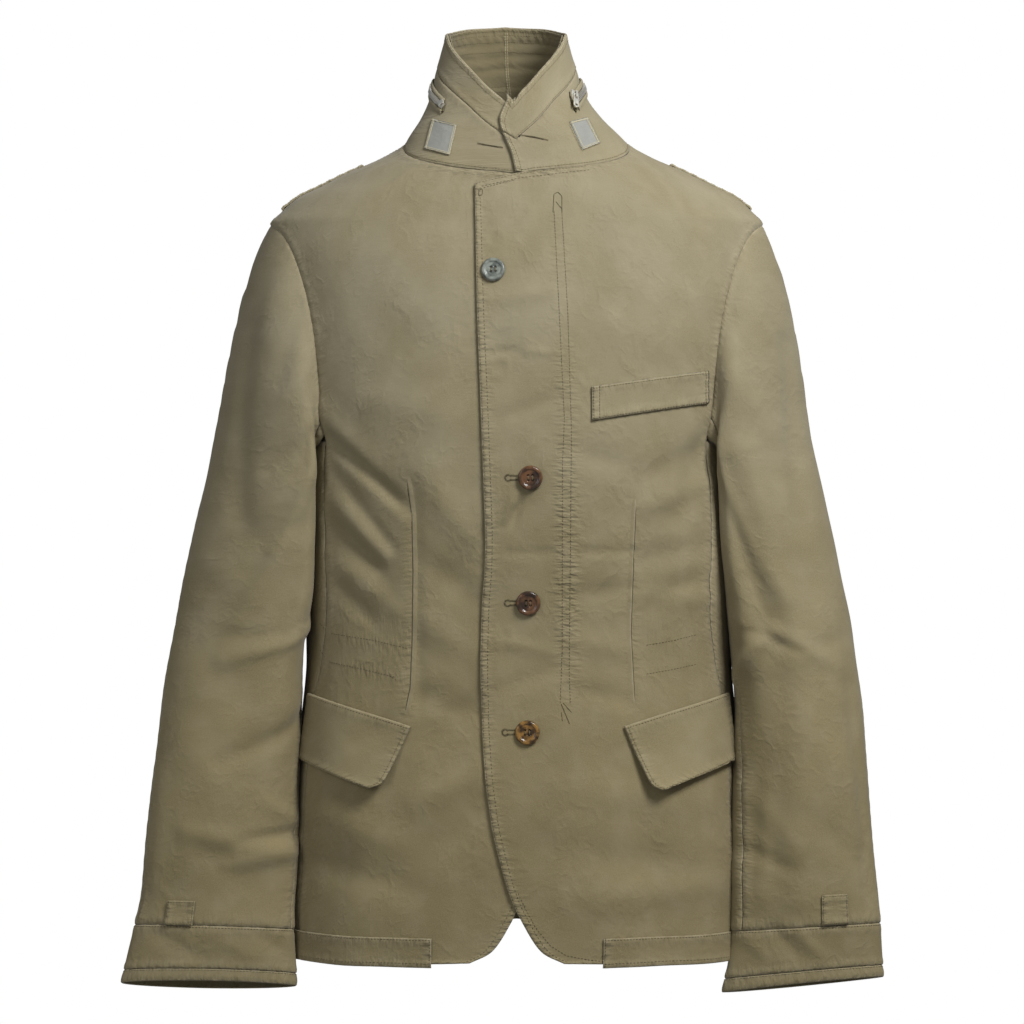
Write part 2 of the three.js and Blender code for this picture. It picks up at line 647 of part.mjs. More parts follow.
// The sleeve's cloth: along is 0 at the armhole, 1 at the top of the arm, 2 at the cuff seam
function sleevePoint(side, degrees, along) {
  if (along >= 1) {
    const z = along <= 2 ? mix(ARM_TOP, CUFF_SEAM, along - 1) : mix(CUFF_SEAM, CUFF_EDGE, along - 2);
    return armPoint(side, degrees, z);
  }
  const { point, leave } = capStart(side, degrees);
  const end = armPoint(side, degrees, ARM_TOP);
  const run = end.distanceTo(point);
  const arrive = armPoint(side, degrees, ARM_TOP - 1).sub(end).normalize();
  const t = Math.max(along, 0);
  const [t2, t3] = [t * t, t * t * t];
  return point.multiplyScalar(2 * t3 - 3 * t2 + 1)
    .addScaledVector(leave, (t3 - 2 * t2 + t) * run)
    .addScaledVector(end, 3 * t2 - 2 * t3)
    .addScaledVector(arrive, (t3 - t2) * run);
}

function sleeveFrame(side, degrees, along, out = 0) {
  const step = 0.01;
  const low = Math.max(along - step, 0);
  const across = sleevePoint(side, degrees + 1, along).sub(sleevePoint(side, degrees - 1, along));
  const down = sleevePoint(side, degrees, along + step).sub(sleevePoint(side, degrees, low));
  const normal = down.cross(across).normalize();
  const point = sleevePoint(side, degrees, along);
  const fade = smooth(0, 0.35, along) * (1 - smooth(1.9, 2, along));
  point.addScaledVector(normal, out + fade * sleeveFold(side, degrees, point.z));
  return { point, normal };
}

// A frame made on the left side, moved to its own
function toSide(side, frame) {
  if (side === 'left') return frame;
  frame.point.x *= -1;
  frame.normal.x *= -1;
  return frame;
}

const SLEEVE_GAP_DEGREES = 0.2;
const CAP_ROWS = 7;
const ARM_ROWS = 11;

function sleeveAlong(row) {
  return row <= CAP_ROWS ? row / CAP_ROWS : 1 + (row - CAP_ROWS) / ARM_ROWS;
}

function sleevePiece(side, which) {
  const seams = SLEEVE_SEAMS[side];
  const rows = CAP_ROWS + ARM_ROWS;
  const gap = SLEEVE_GAP_DEGREES;
  const at = (u, v) => {
    const along = sleeveAlong(Math.round(v * rows));
    const inner = mix(seams.innerTop, seams.innerEnd, along / 2);
    const outer = mix(seams.outerTop, seams.outerEnd, smooth(0, 2, along));
    const degrees = which === 'upper' ? mix(outer + gap, inner - gap, u)
      : mix(inner + gap, outer + 360 - gap, u);
    return toSide(side, sleeveFrame(side, degrees, along));
  };
  return clothWall({ columns: 12, rows, at });
}

// A whole ring of the sleeve's end between two heights
function cuffPiece(side, top, bottom, rows) {
  const at = (u, v) => {
    const z = mix(top, bottom, v);
    return toSide(side, sleeveFrame(side, 360 * u, 2 + (CUFF_SEAM - z) / (CUFF_SEAM - CUFF_EDGE)));
  };
  return clothWall({ columns: 28, rows, at, tube: true });
}

function cuffTab(side) {
  const { from, to, low, high } = TABS[side];
  const at = (u, v) => {
    const along = 1 + (ARM_TOP - mix(low, high, v)) / (ARM_TOP - CUFF_SEAM);
    return toSide(side, sleeveFrame(side, mix(from, to, u), along, -CLOTH - LAY_GAP)); // its normals look inwards
  };
  return clothWall({ columns: 3, rows: 3, at, thickness: 1.2 });
}

for (const side of ['right', 'left']) {
  addPiece(`front_${side}`, frontPanel(side));
  addPiece(`side_${side}`, sideBody(side));
  addPiece(`back_${side}`, backPanel(side));
  addPiece(`sleeve_upper_${side}`, sleevePiece(side, 'upper'));
  addPiece(`sleeve_under_${side}`, sleevePiece(side, 'under'), COLOURS.clothDark);
  addPiece(`cuff_${side}`, cuffPiece(side, CUFF_SEAM - SEAM_GAP, CUFF_BAND, 3));
  addPiece(`cuff_band_${side}`, cuffPiece(side, CUFF_BAND - SEAM_GAP, CUFF_EDGE, 1), COLOURS.clothDark);
  addPiece(`cuff_tab_${side}`, cuffTab(side));
}

// Collar
function ownAngle(degrees) {
  return Math.asin(Math.sin(degrees * RAD)) / RAD;
}

function funnelPoint(degrees, z) {
  const angle = degrees * RAD;
  const deep = sample(COLLAR, 'z', Math.sin(angle) < 0 ? 'front' : 'back', z);
  const radius = ringRadius(angle, sample(COLLAR, 'z', 'wide', z), deep, COLLAR_BEND);
  return new THREE.Vector3(radius * Math.cos(angle) + sample(COLLAR, 'z', 'lean', z), radius * Math.sin(angle), z);
}

// Middle surface of the outer collar: on the neck seam at its foot, on the funnel at its top
function collarPoint(degrees, z) {
  const own = ownAngle(degrees);
  const foot = sample(NECK_SEAM, 'angle', 'z', own);
  const top = sample(COLLAR_TOP, 'angle', 'z', own);
  const rest = THREE.MathUtils.clamp((top - z) / (top - foot), 0, 1);
  const miss = bodyPoint(degrees, foot).sub(funnelPoint(degrees, foot));
  return funnelPoint(degrees, z).addScaledVector(miss, rest * rest);
}

function collarFrame(degrees, z, out = 0) {
  const { point, normal } = frameOf(collarPoint, degrees, z, 0.3, 0.5);
  const side = degrees < 90 ? 'left' : 'right';
  point.addScaledVector(normal, out + lapShift(side, point.x));
  return { point, normal };
}

// Angles from one to another, with those of the outer collar's columns between them
function collarStops(from, to) {
  const stops = [from];
  for (let k = 0; k <= COLLAR_COLUMNS; k += 1) {
    const angle = mix(COLLAR_END.left, COLLAR_END.right, k / COLLAR_COLUMNS);
    if (angle > from + 1 && angle < to - 1) stops.push(angle);
  }
  return [...stops, to];
}

// The end on top draws back from the lap above and below its middle
function drawnBack(degrees, z) {
  return degrees + sample(COLLAR_DRAW, 'z', 'angle', z) * smooth(DRAW_FROM, COLLAR_END.left, degrees);
}

function collarRing({ from, to, rows, low, high, out = 0, thickness = CLOTH }) {
  const stops = collarStops(from, to);
  const columns = stops.length - 1;
  const at = (u, v) => {
    const degrees = stops[Math.round(u * columns)];
    const own = ownAngle(degrees);
    const z = mix(low(own, degrees), high(own, degrees), v);
    return collarFrame(drawnBack(degrees, z), z, out);
  };
  return clothWall({ columns, rows, at, thickness });
}

const neckFoot = (own) => sample(NECK_SEAM, 'angle', 'z', own) + NECK_START;
const bandSeam = (own) => sample(COLLAR_BAND_SEAM, 'angle', 'z', own);
const collarTop = (own) => sample(COLLAR_TOP, 'angle', 'z', own);
const { left: collarFrom, right: collarTo } = COLLAR_END;
addPiece('collar_lower', collarRing({
  from: collarFrom, to: collarTo, rows: 5,
  low: neckFoot, high: (own) => bandSeam(own) - SEAM_GAP / 2,
}));
addPiece('collar_upper', collarRing({
  from: collarFrom, to: collarTo, rows: 3,
  low: (own) => bandSeam(own) + SEAM_GAP / 2, high: collarTop,
}));
addPiece('collar_inner', collarRing({
  from: INNER_COLLAR.from, to: INNER_COLLAR.to, rows: 7,
  low: (own) => neckFoot(own) + INNER_COLLAR.lower, high: (own) => collarTop(own) - 1,
  out: -INNER_COLLAR.behind, thickness: INNER_COLLAR.thick,
}), COLOURS.clothDark);

// Zip: tape with its chain, stop, slider and pull
const ON_COLLAR = CLOTH / 2 + LAY_GAP;
const ON_ZIP = ON_COLLAR + ZIP.clear + ZIP.thick; // outer face of the zip's tape
addPiece('zip_tape', collarRing({
  from: ZIP_LINE[0].angle, to: ZIP_LINE[ZIP_LINE.length - 1].angle, rows: 1,
  low: (own, degrees) => sample(ZIP_LINE, 'angle', 'z', degrees) - ZIP.width / 2,
  high: (own, degrees) => sample(ZIP_LINE, 'angle', 'z', degrees) + ZIP.width / 2,
  out: ON_ZIP - ZIP.thick / 2, thickness: ZIP.thick,
}), COLOURS.zip, 0.5, 0.3);

// World angle on the collar at an x towards its own side and a height, in front
function collarAngleAt(side, x, z) {
  let [low, high] = [-90, 0];
  for (let k = 0; k < 30; k += 1) {
    const middle = (low + high) / 2;
    if (Math.abs(collarPoint(worldAngle(side, middle), z).x) < x) low = middle;
    else high = middle;
  }
  return worldAngle(side, (low + high) / 2);
}

// Moves a geometry made about the origin to a frame: its x along a direction, its z along the normal
function seat(geometry, { point, normal }, direction) {
  const alongX = direction.clone().addScaledVector(normal, -direction.dot(normal)).normalize();
  const alongY = normal.clone().cross(alongX);
  const matrix = new THREE.Matrix4().makeBasis(alongX, alongY, normal).setPosition(point);
  return geometry.applyMatrix4(matrix);
}

function solidOf(geometry) {
  const bare = geometry.index ? geometry.clone() : geometry;
  bare.deleteAttribute('normal');
  bare.deleteAttribute('uv');
  const merged = mergeVertices(bare, 1e-4);
  return new wasm.Manifold(new wasm.Mesh({
    numProp: 3,
    vertProperties: new Float32Array(merged.attributes.position.array),
    triVerts: new Uint32Array(merged.index.array),
  }));
}

function geometryOf(solid) {
  const mesh = solid.getMesh();
  const geometry = new THREE.BufferGeometry();
  geometry.setAttribute('position', new THREE.BufferAttribute(mesh.vertProperties, 3));
  geometry.setIndex(new THREE.BufferAttribute(mesh.triVerts, 1));
  return geometry;
}

function block(x0, x1, y0, y1, z0, z1) {
  const geometry = new THREE.BoxGeometry(x1 - x0, y1 - y0, z1 - z0);
  return geometry.translate((x0 + x1) / 2, (y0 + y1) / 2, (z0 + z1) / 2);
}

function plate(outline, thick, curveSegments = 6) {
  return new THREE.ExtrudeGeometry(outline, { depth: thick, bevelEnabled: false, curveSegments });
}

const sliderSeat = collarFrame(
  collarAngleAt('left', SLIDER.x, SLIDER.z), SLIDER.z, ON_ZIP + SEAM_GAP,
);
const sliderWay = new THREE.Vector3(SLIDER.leanX, 0, SLIDER.leanZ);

function sliderGeometry() {
  const { long, wide, thick } = SLIDER;
  const outline = new THREE.Shape();
  outline.moveTo(long / 2, -wide * 0.3);
  outline.lineTo(long / 2, wide * 0.3);
  outline.lineTo(0, wide / 2);
  outline.lineTo(-long / 2, wide / 2);
  outline.lineTo(-long / 2, -wide / 2);
  outline.lineTo(0, -wide / 2);
  outline.closePath();
  const { reach, wide: strap, bar, rise } = BRIDGE;
  const top = thick + rise;
  const body = solidOf(plate(outline, thick));
  const legs = [-reach, reach - bar].map((x) => solidOf(block(x, x + bar, -strap / 2, strap / 2, thick / 2, top)));
  const strapTop = solidOf(block(-reach, reach, -strap / 2, strap / 2, top, top + bar));
  return geometryOf(body.add(legs[0]).add(legs[1]).add(strapTop));
}

// The pull lies along its x from its pin, which is at the origin
function pullGeometry() {
  const { pin, window: opening, arm, inside, long, wide, hole } = PULL;
  const half = inside / 2 + arm;
  const outline = new THREE.Shape();
  outline.moveTo(-pin / 2, -half);
  outline.lineTo(pin / 2 + opening, -half);
  outline.absarc(long - wide / 2, 0, wide / 2, -Math.PI / 2, Math.PI / 2, false);
  outline.lineTo(pin / 2 + opening, half);
  outline.lineTo(-pin / 2, half);
  outline.closePath();
  const gap = new THREE.Path();
  gap.moveTo(pin / 2, -inside / 2);
  gap.lineTo(pin / 2, inside / 2);
  gap.lineTo(pin / 2 + opening, inside / 2);
  gap.lineTo(pin / 2 + opening, -inside / 2);
  gap.closePath();
  const eye = new THREE.Path();
  eye.absarc(long - wide / 2, 0, hole, 0, 2 * Math.PI, true);
  outline.holes.push(gap, eye);
  return plate(outline, pin).translate(0, 0, -pin / 2).rotateY(PULL.tilt * RAD);
}

addPiece('zip_slider', seat(sliderGeometry(), sliderSeat, sliderWay), COLOURS.zip, 0.35, 0.8);
const pinSeat = {
  point: sliderSeat.point.clone().addScaledVector(sliderSeat.normal, SLIDER.thick + BRIDGE.rise / 2),
  normal: sliderSeat.normal,
};
addPiece('zip_pull', seat(pullGeometry(), pinSeat, sliderWay), COLOURS.zip, 0.35, 0.8);

const stopHeight = sample(ZIP_LINE, 'angle', 'z', ZIP_STOP.angle) + ZIP_STOP.above;
const stopSeat = collarFrame(ZIP_STOP.angle, stopHeight, ON_ZIP + SEAM_GAP);
const { long: stopLong, wide: stopWide, thick: stopThick } = ZIP_STOP;
const stopBlock = block(-stopLong / 2, stopLong / 2, -stopWide / 2, stopWide / 2, 0, stopThick);
const stopWay = new THREE.Vector3(ZIP_STOP.leanX, 0, ZIP_STOP.leanZ);
addPiece('zip_stop', seat(stopBlock, stopSeat, stopWay), COLOURS.zip, 0.35, 0.8);

for (const side of ['right', 'left']) {
  const { highIn, highOut, lowOut, lowIn } = PATCHES[side];
  const at = (u, v) => {
    const x = mix(mix(lowIn[0], lowOut[0], u), mix(highIn[0], highOut[0], u), v);
    const z = mix(mix(lowIn[1], lowOut[1], u), mix(highIn[1], highOut[1], u), v);
    return collarFrame(collarAngleAt(side, x, z), z, ON_COLLAR + PATCH_THICK / 2);
  };
  addPiece(`collar_patch_${side}`, clothWall({ columns: 4, rows: 5, at, thickness: PATCH_THICK }), COLOURS.patch);
}

// Pieces on the body cloth
const ON_CLOTH = CLOTH / 2 + LAY_GAP;

function shoulderStrap(side) {
  const at = (u, v) => {
    const z = mix(STRAP.top, STRAP.end, u);
    const y = mix(STRAP.from, STRAP.from + STRAP.width, v);
    const bend = sample(BODY, 'z', 'bend', z);
    const x = sample(BODY, 'z', 'wide', z) * (1 - (y / sample(BODY, 'z', 'back', z)) ** bend) ** (1 / bend);
    const { point, normal } = bodyFrame(worldAngle(side, Math.atan2(y, x) / RAD), z);
    point.addScaledVector(normal, ON_CLOTH + STRAP.thick / 2);
    return { point, normal };
  };
  return clothWall({ columns: 8, rows: 4, at, thickness: STRAP.thick });
}

function chestWelt() {
  const { inner, outer, innerTop, outerTop, innerLow, outerLow, thick } = CHEST_WELT;
  const at = (u, v) => {
    const z = mix(mix(innerLow, outerLow, u), mix(innerTop, outerTop, u), v);
    return frontFrame('left', bodyAngle(mix(inner, outer, u), z, -1), z, ON_CLOTH + thick / 2);
  };
  return clothWall({ columns: 10, rows: 2, at, thickness: thick });
}

function hipFlap(side) {
  const { frontTop, backTop, frontLow, backLow, corner, standOff, clear } = FLAP;
  const at = (u, v) => {
    const left = (1 - v) * Math.hypot(frontLow.x - frontTop.x, frontLow.z - frontTop.z);
    const cut = left < corner ? corner - Math.sqrt(corner ** 2 - (corner - left) ** 2) : 0;
    const x = mix(mix(frontTop.x, frontLow.x, v) + cut, mix(backTop.x, backLow.x, v), u);
    const z = mix(mix(frontTop.z, frontLow.z, v), mix(backTop.z, backLow.z, v), u);
    const out = ON_CLOTH + clear + FLAP_THICK / 2 + standOff * v * v * (1 - 0.7 * u);
    const { point, normal } = bodyFrame(worldAngle(side, bodyAngle(x, z, -1)), z);
    point.addScaledVector(normal, out);
    return { point, normal };
  };
  return clothWall({ columns: 9, rows: 5, at, thickness: FLAP_THICK });
}

// Own-side angles of the panels' columns at the hem, from the band's start to the back seam
function hemStops() {
  const start = bodyAngle(HEM_BAND.start, HEM, -1);
  const columns = [];
  for (let k = 0; k < FRONT_COLUMNS; k += 1) {
    columns.push(mix(frontInner(0).angle, outerBoundary(0, -1).angle, k / FRONT_COLUMNS));
  }
  for (let k = 0; k < SIDE_COLUMNS; k += 1) columns.push(sideAngle(k / SIDE_COLUMNS, 0));
  for (let k = BACK_COLUMNS; k >= 0; k -= 1) {
    columns.push(mix(backInner(0).angle, outerBoundary(0, 1).angle, k / BACK_COLUMNS));
  }
  return [start, ...columns.filter((angle) => angle > start + 1)];
}

// Height of the hem at an own-side angle: it rises from the side seam to the middle of the back
function hemHeight(angle) {
  const [seam, middle] = [outerBoundary(0, 1).angle, backInner(0).angle];
  return mix(HEM, BACK_HEM, THREE.MathUtils.clamp((angle - seam) / (middle - seam), 0, 1));
}

function hemBand(side) {
  const stops = hemStops();
  const columns = stops.length - 1;
  const at = (u, v) => {
    const angle = stops[Math.round(u * columns)];
    const { point, normal } = bodyFrame(worldAngle(side, angle), hemHeight(angle) + HEM_BAND.height * v);
    point.addScaledVector(normal, ON_CLOTH + HEM_BAND.clear + HEM_BAND.thick / 2);
    return { point, normal };
  };
  return clothWall({ columns, rows: 1, at, thickness: HEM_BAND.thick });
}

function buttonGeometry(radius) {
  const outline = new THREE.Shape();
  outline.absarc(0, 0, radius - BUTTON.bevel, 0, 2 * Math.PI, false);
  for (const [x, y] of [[1, 1], [-1, 1], [-1, -1], [1, -1]]) {
    const hole = new THREE.Path();
    hole.absarc(x * BUTTON.holeOut, y * BUTTON.holeOut, BUTTON.hole, 0, 2 * Math.PI, true);
    outline.holes.push(hole);
  }
  return new THREE.ExtrudeGeometry(outline, {
    depth: BUTTON.thick - BUTTON.bevel,
    bevelThickness: BUTTON.bevel,
    bevelSize: BUTTON.bevel,
    bevelSegments: 1,
    curveSegments: BUTTON.curve,
  }).translate(0, 0, BUTTON.bevel);
}

for (const side of ['right', 'left']) {
  addPiece(`epaulette_${side}`, shoulderStrap(side));
  addPiece(`flap_${side}`, hipFlap(side));
  addPiece(`hem_band_${side}`, hemBand(side));
}
addPiece('chest_welt', chestWelt(), COLOURS.clothDark);
for (const { name, x, z, radius, colour } of BUTTONS) {
  const angle = x < 0 ? worldAngle('right', bodyAngle(-x, z, -1)) : bodyAngle(x, z, -1);
  const place = frontFrame('left', angle, z, ON_CLOTH);
  addPiece(name, seat(buttonGeometry(radius), place, new THREE.Vector3(1, 0, 0)), colour, 0.35);
}

export default blazer;
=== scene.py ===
import math

import bmesh
import bpy
import numpy as np
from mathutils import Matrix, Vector
from mathutils.bvhtree import BVHTree


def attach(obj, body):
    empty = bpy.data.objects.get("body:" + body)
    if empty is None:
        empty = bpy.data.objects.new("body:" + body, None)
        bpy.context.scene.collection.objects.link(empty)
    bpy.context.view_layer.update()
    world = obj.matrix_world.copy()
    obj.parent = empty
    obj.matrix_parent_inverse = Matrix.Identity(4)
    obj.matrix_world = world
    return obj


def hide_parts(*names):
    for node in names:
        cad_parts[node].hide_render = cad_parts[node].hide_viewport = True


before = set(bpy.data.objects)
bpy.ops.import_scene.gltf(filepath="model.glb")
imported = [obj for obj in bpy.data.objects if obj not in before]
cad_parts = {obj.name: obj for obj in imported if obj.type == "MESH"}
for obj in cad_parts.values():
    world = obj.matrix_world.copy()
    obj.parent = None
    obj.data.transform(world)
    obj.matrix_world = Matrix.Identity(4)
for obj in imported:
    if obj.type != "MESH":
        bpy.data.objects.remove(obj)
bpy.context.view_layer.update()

# Sizes are in mm here and turned to metres where a mesh is made.
# +X is the wearer's left, -Y the front, +Z up, as in the CAD model.
MM = 0.001
CLOTH = 1.5
LAY_GAP = 0.4
ON_CLOTH = CLOTH / 2 + LAY_GAP
LAP_SHIFT, LAP_INNER, LAP_OUTER = 1.5, 38.0, 66.0
HEM, UNDERARM_FRONT, UNDERARM_BACK, UNDERARM_DIP, SHOULDER = -713.0, -262.0, -258.0, 10.0, -76.0
CUFF_SEAM, CUFF_BAND, CUFF_EDGE, ARM_TOP = -684.0, -722.0, -733.0, -300.0
BACK_HEM = -699.0

# Body rings: height, half width, depth in front, depth behind, squareness
BODY = np.array([
    (-713, 198, 117, 121, 2.4), (-600, 192, 115, 119, 2.4), (-520, 186, 111, 110, 2.4),
    (-455, 180, 108, 101, 2.4), (-360, 184, 114, 103, 2.4), (-280, 188, 119, 108, 2.4),
    (-180, 202, 113, 111, 2.45), (-110, 213, 102, 106, 2.4), (-76, 216, 93, 99, 2.35),
    (-64, 206, 90, 96, 2.3), (-52, 192, 86, 92, 2.25), (-42, 172, 82, 87, 2.2),
    (-30, 148, 78, 82, 2.15), (-17, 118, 71, 76, 2.1), (0, 90, 62, 69, 2.0), (14, 76, 56, 62, 2.0),
], float)
NECK_SEAM = np.array([
    (-90, -37), (-55, -31), (-40, -26), (-29, -20), (-15, -10), (0, -2), (30, 4), (60, 8), (90, 9),
], float)
FRONT_EDGE = np.array([
    (0, 40, -709), (.03, 22, -700), (.07, 5, -675), (.12, -6, -652), (.18, -14, -625), (.26, -22, -590),
    (.36, -28, -538), (.52, -31, -469), (.64, -30, -412), (.74, -27, -364), (1, -30, -258),
    (1.25, -34, -150), (1.5, -36, -46),
], float)
EDGE_TOP = 1.5
SEAM_FRONT = np.array([
    (-713, 186), (-560, 179), (-489, 172), (-459, 165), (-404, 160), (-347, 164), (-262, 166),
], float)
SEAM_BACK = np.array([(-713, 166), (-560, 157), (-455, 146), (-350, 155), (-258, 164)], float)
ARMHOLE_FRONT = np.array([
    (0, 166, -262), (.1, 168, -245), (.27, 171, -213), (.43, 174, -182), (.58, 179, -152),
    (.72, 186, -125), (.86, 196, -99), (.94, 205, -85), (1, 216, -76),
], float)
ARMHOLE_BACK = np.array([
    (0, 164, -258), (.3, 171, -214), (.55, 180, -165), (.8, 195, -113), (.93, 207, -88), (1, 216, -76),
], float)

# Main folds, as in the CAD model: facing, both ends as x and z in the view from the front, width, height
FOLDS = [
    (-1, -160, -268, -98, -325, 11, -4.5), (-1, -166, -240, -120, -300, 10, 4),
    (-1, -156, -345, -118, -378, 10, -3.5), (-1, 166, -262, 138, -330, 12, -4),
    (-1, 150, -385, 118, -402, 10, -3), (-1, -31, -352, -66, -396, 13, -3.5),
    (-1, -33, -486, -70, -520, 16, -4), (-1, -40, -588, -98, -630, 20, -4),
    (-1, 60, -560, 66, -690, 22, 3.5), (-1, 110, -585, 126, -700, 20, -3.5),
    (-1, -120, -580, -138, -700, 20, 3.5), (-1, 8, -316, -12, -338, 7, -2),
    (1, 150, -240, 80, -320, 14, -5), (1, -150, -250, -70, -300, 14, -5),
    (1, 60, -480, 72, -700, 24, 5), (1, -52, -500, -70, -700, 26, 5),
    (1, 110, -440, 30, -468, 12, -4), (1, -120, -448, -24, -462, 12, -4),
]
FOLD_FADE = 40.0

# Sleeve rings: height, x, y, half width, half depth, turn, hug, squareness, drop of the back edge,
# rise of the outer side
SLEEVE = {
    "right": np.array([
        (-733, 265, -70, 74, 20, 4, 0, 1.8, 6, 2), (-684, 261, -65, 67, 26, 4, 0, 1.8, 4, 2.6),
        (-652, 259, -56, 63.5, 32, 6, 0, 1.9, 3, 2), (-598, 256, -48, 62, 40, 8, 0, 2.0, 2, 0),
        (-487, 250, -28, 57, 54, 10, 14, 2.1, 1, 0), (-400, 243, -15, 50, 63, 10, 34, 2.1, 0, 0),
        (-350, 239, -10, 44, 70, 10, 38, 2.1, 0, 0), (-300, 233, -6, 39, 76, 8, 40, 2.1, 0, 0),
    ], float),
    "left": np.array([
        (-733, 246, -71, 68, 20, 2, 0, 1.8, 4, 7), (-684, 249.5, -66, 62, 27, 3, 0, 1.8, 3, 4),
        (-631, 250, -57, 58, 34, 5, 0, 1.9, 3, 2), (-570, 249, -46, 55, 43, 6, 0, 2.0, 2, 1),
        (-511, 249, -36, 52, 50, 8, 6, 2.1, 2, 0), (-435, 243, -24, 49, 58, 8, 14, 2.1, 1, 0),
        (-369, 237, -14, 43, 66, 8, 30, 2.1, 0, 0), (-300, 229, -6, 36, 76, 8, 36, 2.1, 0, 0),
    ], float),
}
BACK_HUG = 0.5
# Sleeve folds: ring angle and height of both ends, width, height
SLEEVE_FOLDS = {
    "right": [
        (20, -170, 45, -330, 9, 3), (110, -250, 60, -420, 9, -3.5), (150, -420, 60, -455, 8, -4),
        (160, -500, 80, -540, 9, 3), (60, -600, 150, -620, 9, -3), (250, -410, 330, -450, 9, -4),
        (240, -520, 320, -560, 9, 3),
    ],
    "left": [
        (15, -180, 40, -340, 9, 3), (110, -250, 70, -400, 9, -3), (150, -470, 90, -430, 8, -4),
        (90, -430, 40, -460, 8, -2), (30, -480, 26, -680, 11, 3), (120, -560, 130, -660, 10, -3),
        (240, -430, 320, -470, 9, -4),
    ],
}
FOLD_MM_PER_DEGREE = 1.1
ARMHOLE_SPLIT = (150.0, 205.0)
# Sleeve seams: inner at the armhole and the cuff, outer at the armhole and the cuff
SLEEVE_SEAMS = {"right": (140, 166, -40, 12), "left": (136, 152, -40, -8)}
SLEEVE_START, SLEEVE_LIFT = -0.8, 0.2
CAP_LEAVE = np.array([
    (0, .46, 0, -.89), (60, .52, -.4, -.76), (110, .45, -.6, -.66), (180, .8, 0, -.6),
    (260, .45, .6, -.66), (310, .52, .4, -.76), (360, .46, 0, -.89),
], float)

# Collar rings: height, half width, depth in front and behind, lean to one side
COLLAR = np.array([
    (-40, 100, 80, 74, 0), (-4, 88, 73, 68, -3.5), (17, 74.5, 68, 65, -6), (34, 66.5, 64, 62, -8),
    (57, 60.5, 59, 59, -9.5), (75, 56, 54, 57, -10), (94, 51, 48, 55, -10), (110, 48, 44, 53, -10),
], float)
COLLAR_BEND = 2.1
COLLAR_TOP = np.array([
    (-90, 25), (-74, 41), (-59, 57), (-36, 76), (-12, 91), (20, 97), (55, 104), (90, 107),
], float)
BAND_SEAM = np.array([
    (-90, -8), (-80, 1), (-73, 8), (-56, 27), (-30, 48), (-10, 60), (30, 71), (90, 78),
], float)
COLLAR_FROM, COLLAR_TO = -98.0, 276.0
COLLAR_DRAW = np.array([(-34, 7), (-22, 6), (9, 0), (28, 7)], float)
DRAW_FROM = -78.0
NECK_START = 0.1
ZIP_LINE = np.array([
    (-43, 21), (-36, 29), (-15, 42), (0, 47), (90, 50), (180, 47), (192, 42), (204, 35), (222, 22),
], float)
ZIP_WIDTH, ZIP_THICK, ZIP_CLEAR = 9.0, 1.2, 0.3
ON_ZIP = ON_CLOTH + ZIP_CLEAR + ZIP_THICK

SIGN = {"right": -1, "left": 1}


def sample(table, column, at):
    """Smooth value of a column at a key, with no overshoot between the rows."""
    at = np.asarray(at, float)
    key, value = table[:, 0], table[:, column]
    slope = np.diff(value) / np.diff(key)
    product = slope[:-1] * slope[1:]
    total = slope[:-1] + slope[1:]
    middle = np.where(product > 0, 2 * product / np.where(total == 0, 1, total), 0)
    tangent = np.concatenate([slope[:1], middle, slope[-1:]])
    i = np.clip(np.searchsorted(key, at) - 1, 0, len(key) - 2)
    span = key[i + 1] - key[i]
    t = np.clip((at - key[i]) / span, 0, 1)
    rise = value[i + 1] - value[i]
    bow = (1 - t) * (tangent[i] * span - rise) + t * (rise - tangent[i + 1] * span)
    return value[i] + t * rise + t * (1 - t) * bow


def smooth(start, end, at):
    t = np.clip((np.asarray(at, float) - start) / (end - start), 0, 1)
    return t * t * (3 - 2 * t)


def mix(a, b, t):
    return a + (b - a) * t


def unit(v):
    return v / np.maximum(np.linalg.norm(v, axis=-1, keepdims=True), 1e-9)


def along_line(at, far, values):
    """Values of a line's points, in columns, at distances along it."""
    return np.stack([np.interp(at, far, values[:, k]) for k in range(values.shape[1])], -1)


def length_along(line):
    return np.concatenate([[0], np.cumsum(np.linalg.norm(np.diff(line, axis=0), axis=1))])


def fold_height(px, pz, x0, z0, x1, z1, width, height):
    dx, dz = x1 - x0, z1 - z0
    along = np.clip(((px - x0) * dx + (pz - z0) * dz) / (dx * dx + dz * dz), 0, 1)
    away = np.hypot(px - x0 - along * dx, pz - z0 - along * dz)
    taper = 0.35 + 0.65 * np.sin(np.pi * (0.15 + 0.7 * along))
    return height * taper * np.exp(-((away / width) ** 2))


def ring_radius(angle, wide, deep, bend):
    across = np.abs(np.cos(angle)) / wide
    along = np.abs(np.sin(angle)) / deep
    return (across ** bend + along ** bend) ** (-1 / bend)


def body_point(degrees, z):
    degrees, z = np.broadcast_arrays(np.asarray(degrees, float), np.asarray(z, float))
    angle = np.radians(degrees)
    deep = np.where(np.sin(angle) < 0, sample(BODY, 2, z), sample(BODY, 3, z))
    radius = ring_radius(angle, sample(BODY, 1, z), deep, sample(BODY, 4, z))
    x, y = radius * np.cos(angle), radius * np.sin(angle)
    fold = np.zeros_like(x)
    for facing, *line in FOLDS:
        fold += np.where((y < 0) == (facing < 0), fold_height(x, z, *line), 0)
    grown = radius + fold * smooth(0, FOLD_FADE, np.abs(y))
    return np.stack([grown * np.cos(angle), grown * np.sin(angle), z], -1)


def body_angle(x, z, facing):
    wide, bend = sample(BODY, 1, z), sample(BODY, 4, z)
    deep = sample(BODY, 2 if facing < 0 else 3, z)
    share = np.minimum(np.abs(x) / wide, 1)
    return np.degrees(np.arctan2(facing * deep * (1 - share ** bend) ** (1 / bend), x))


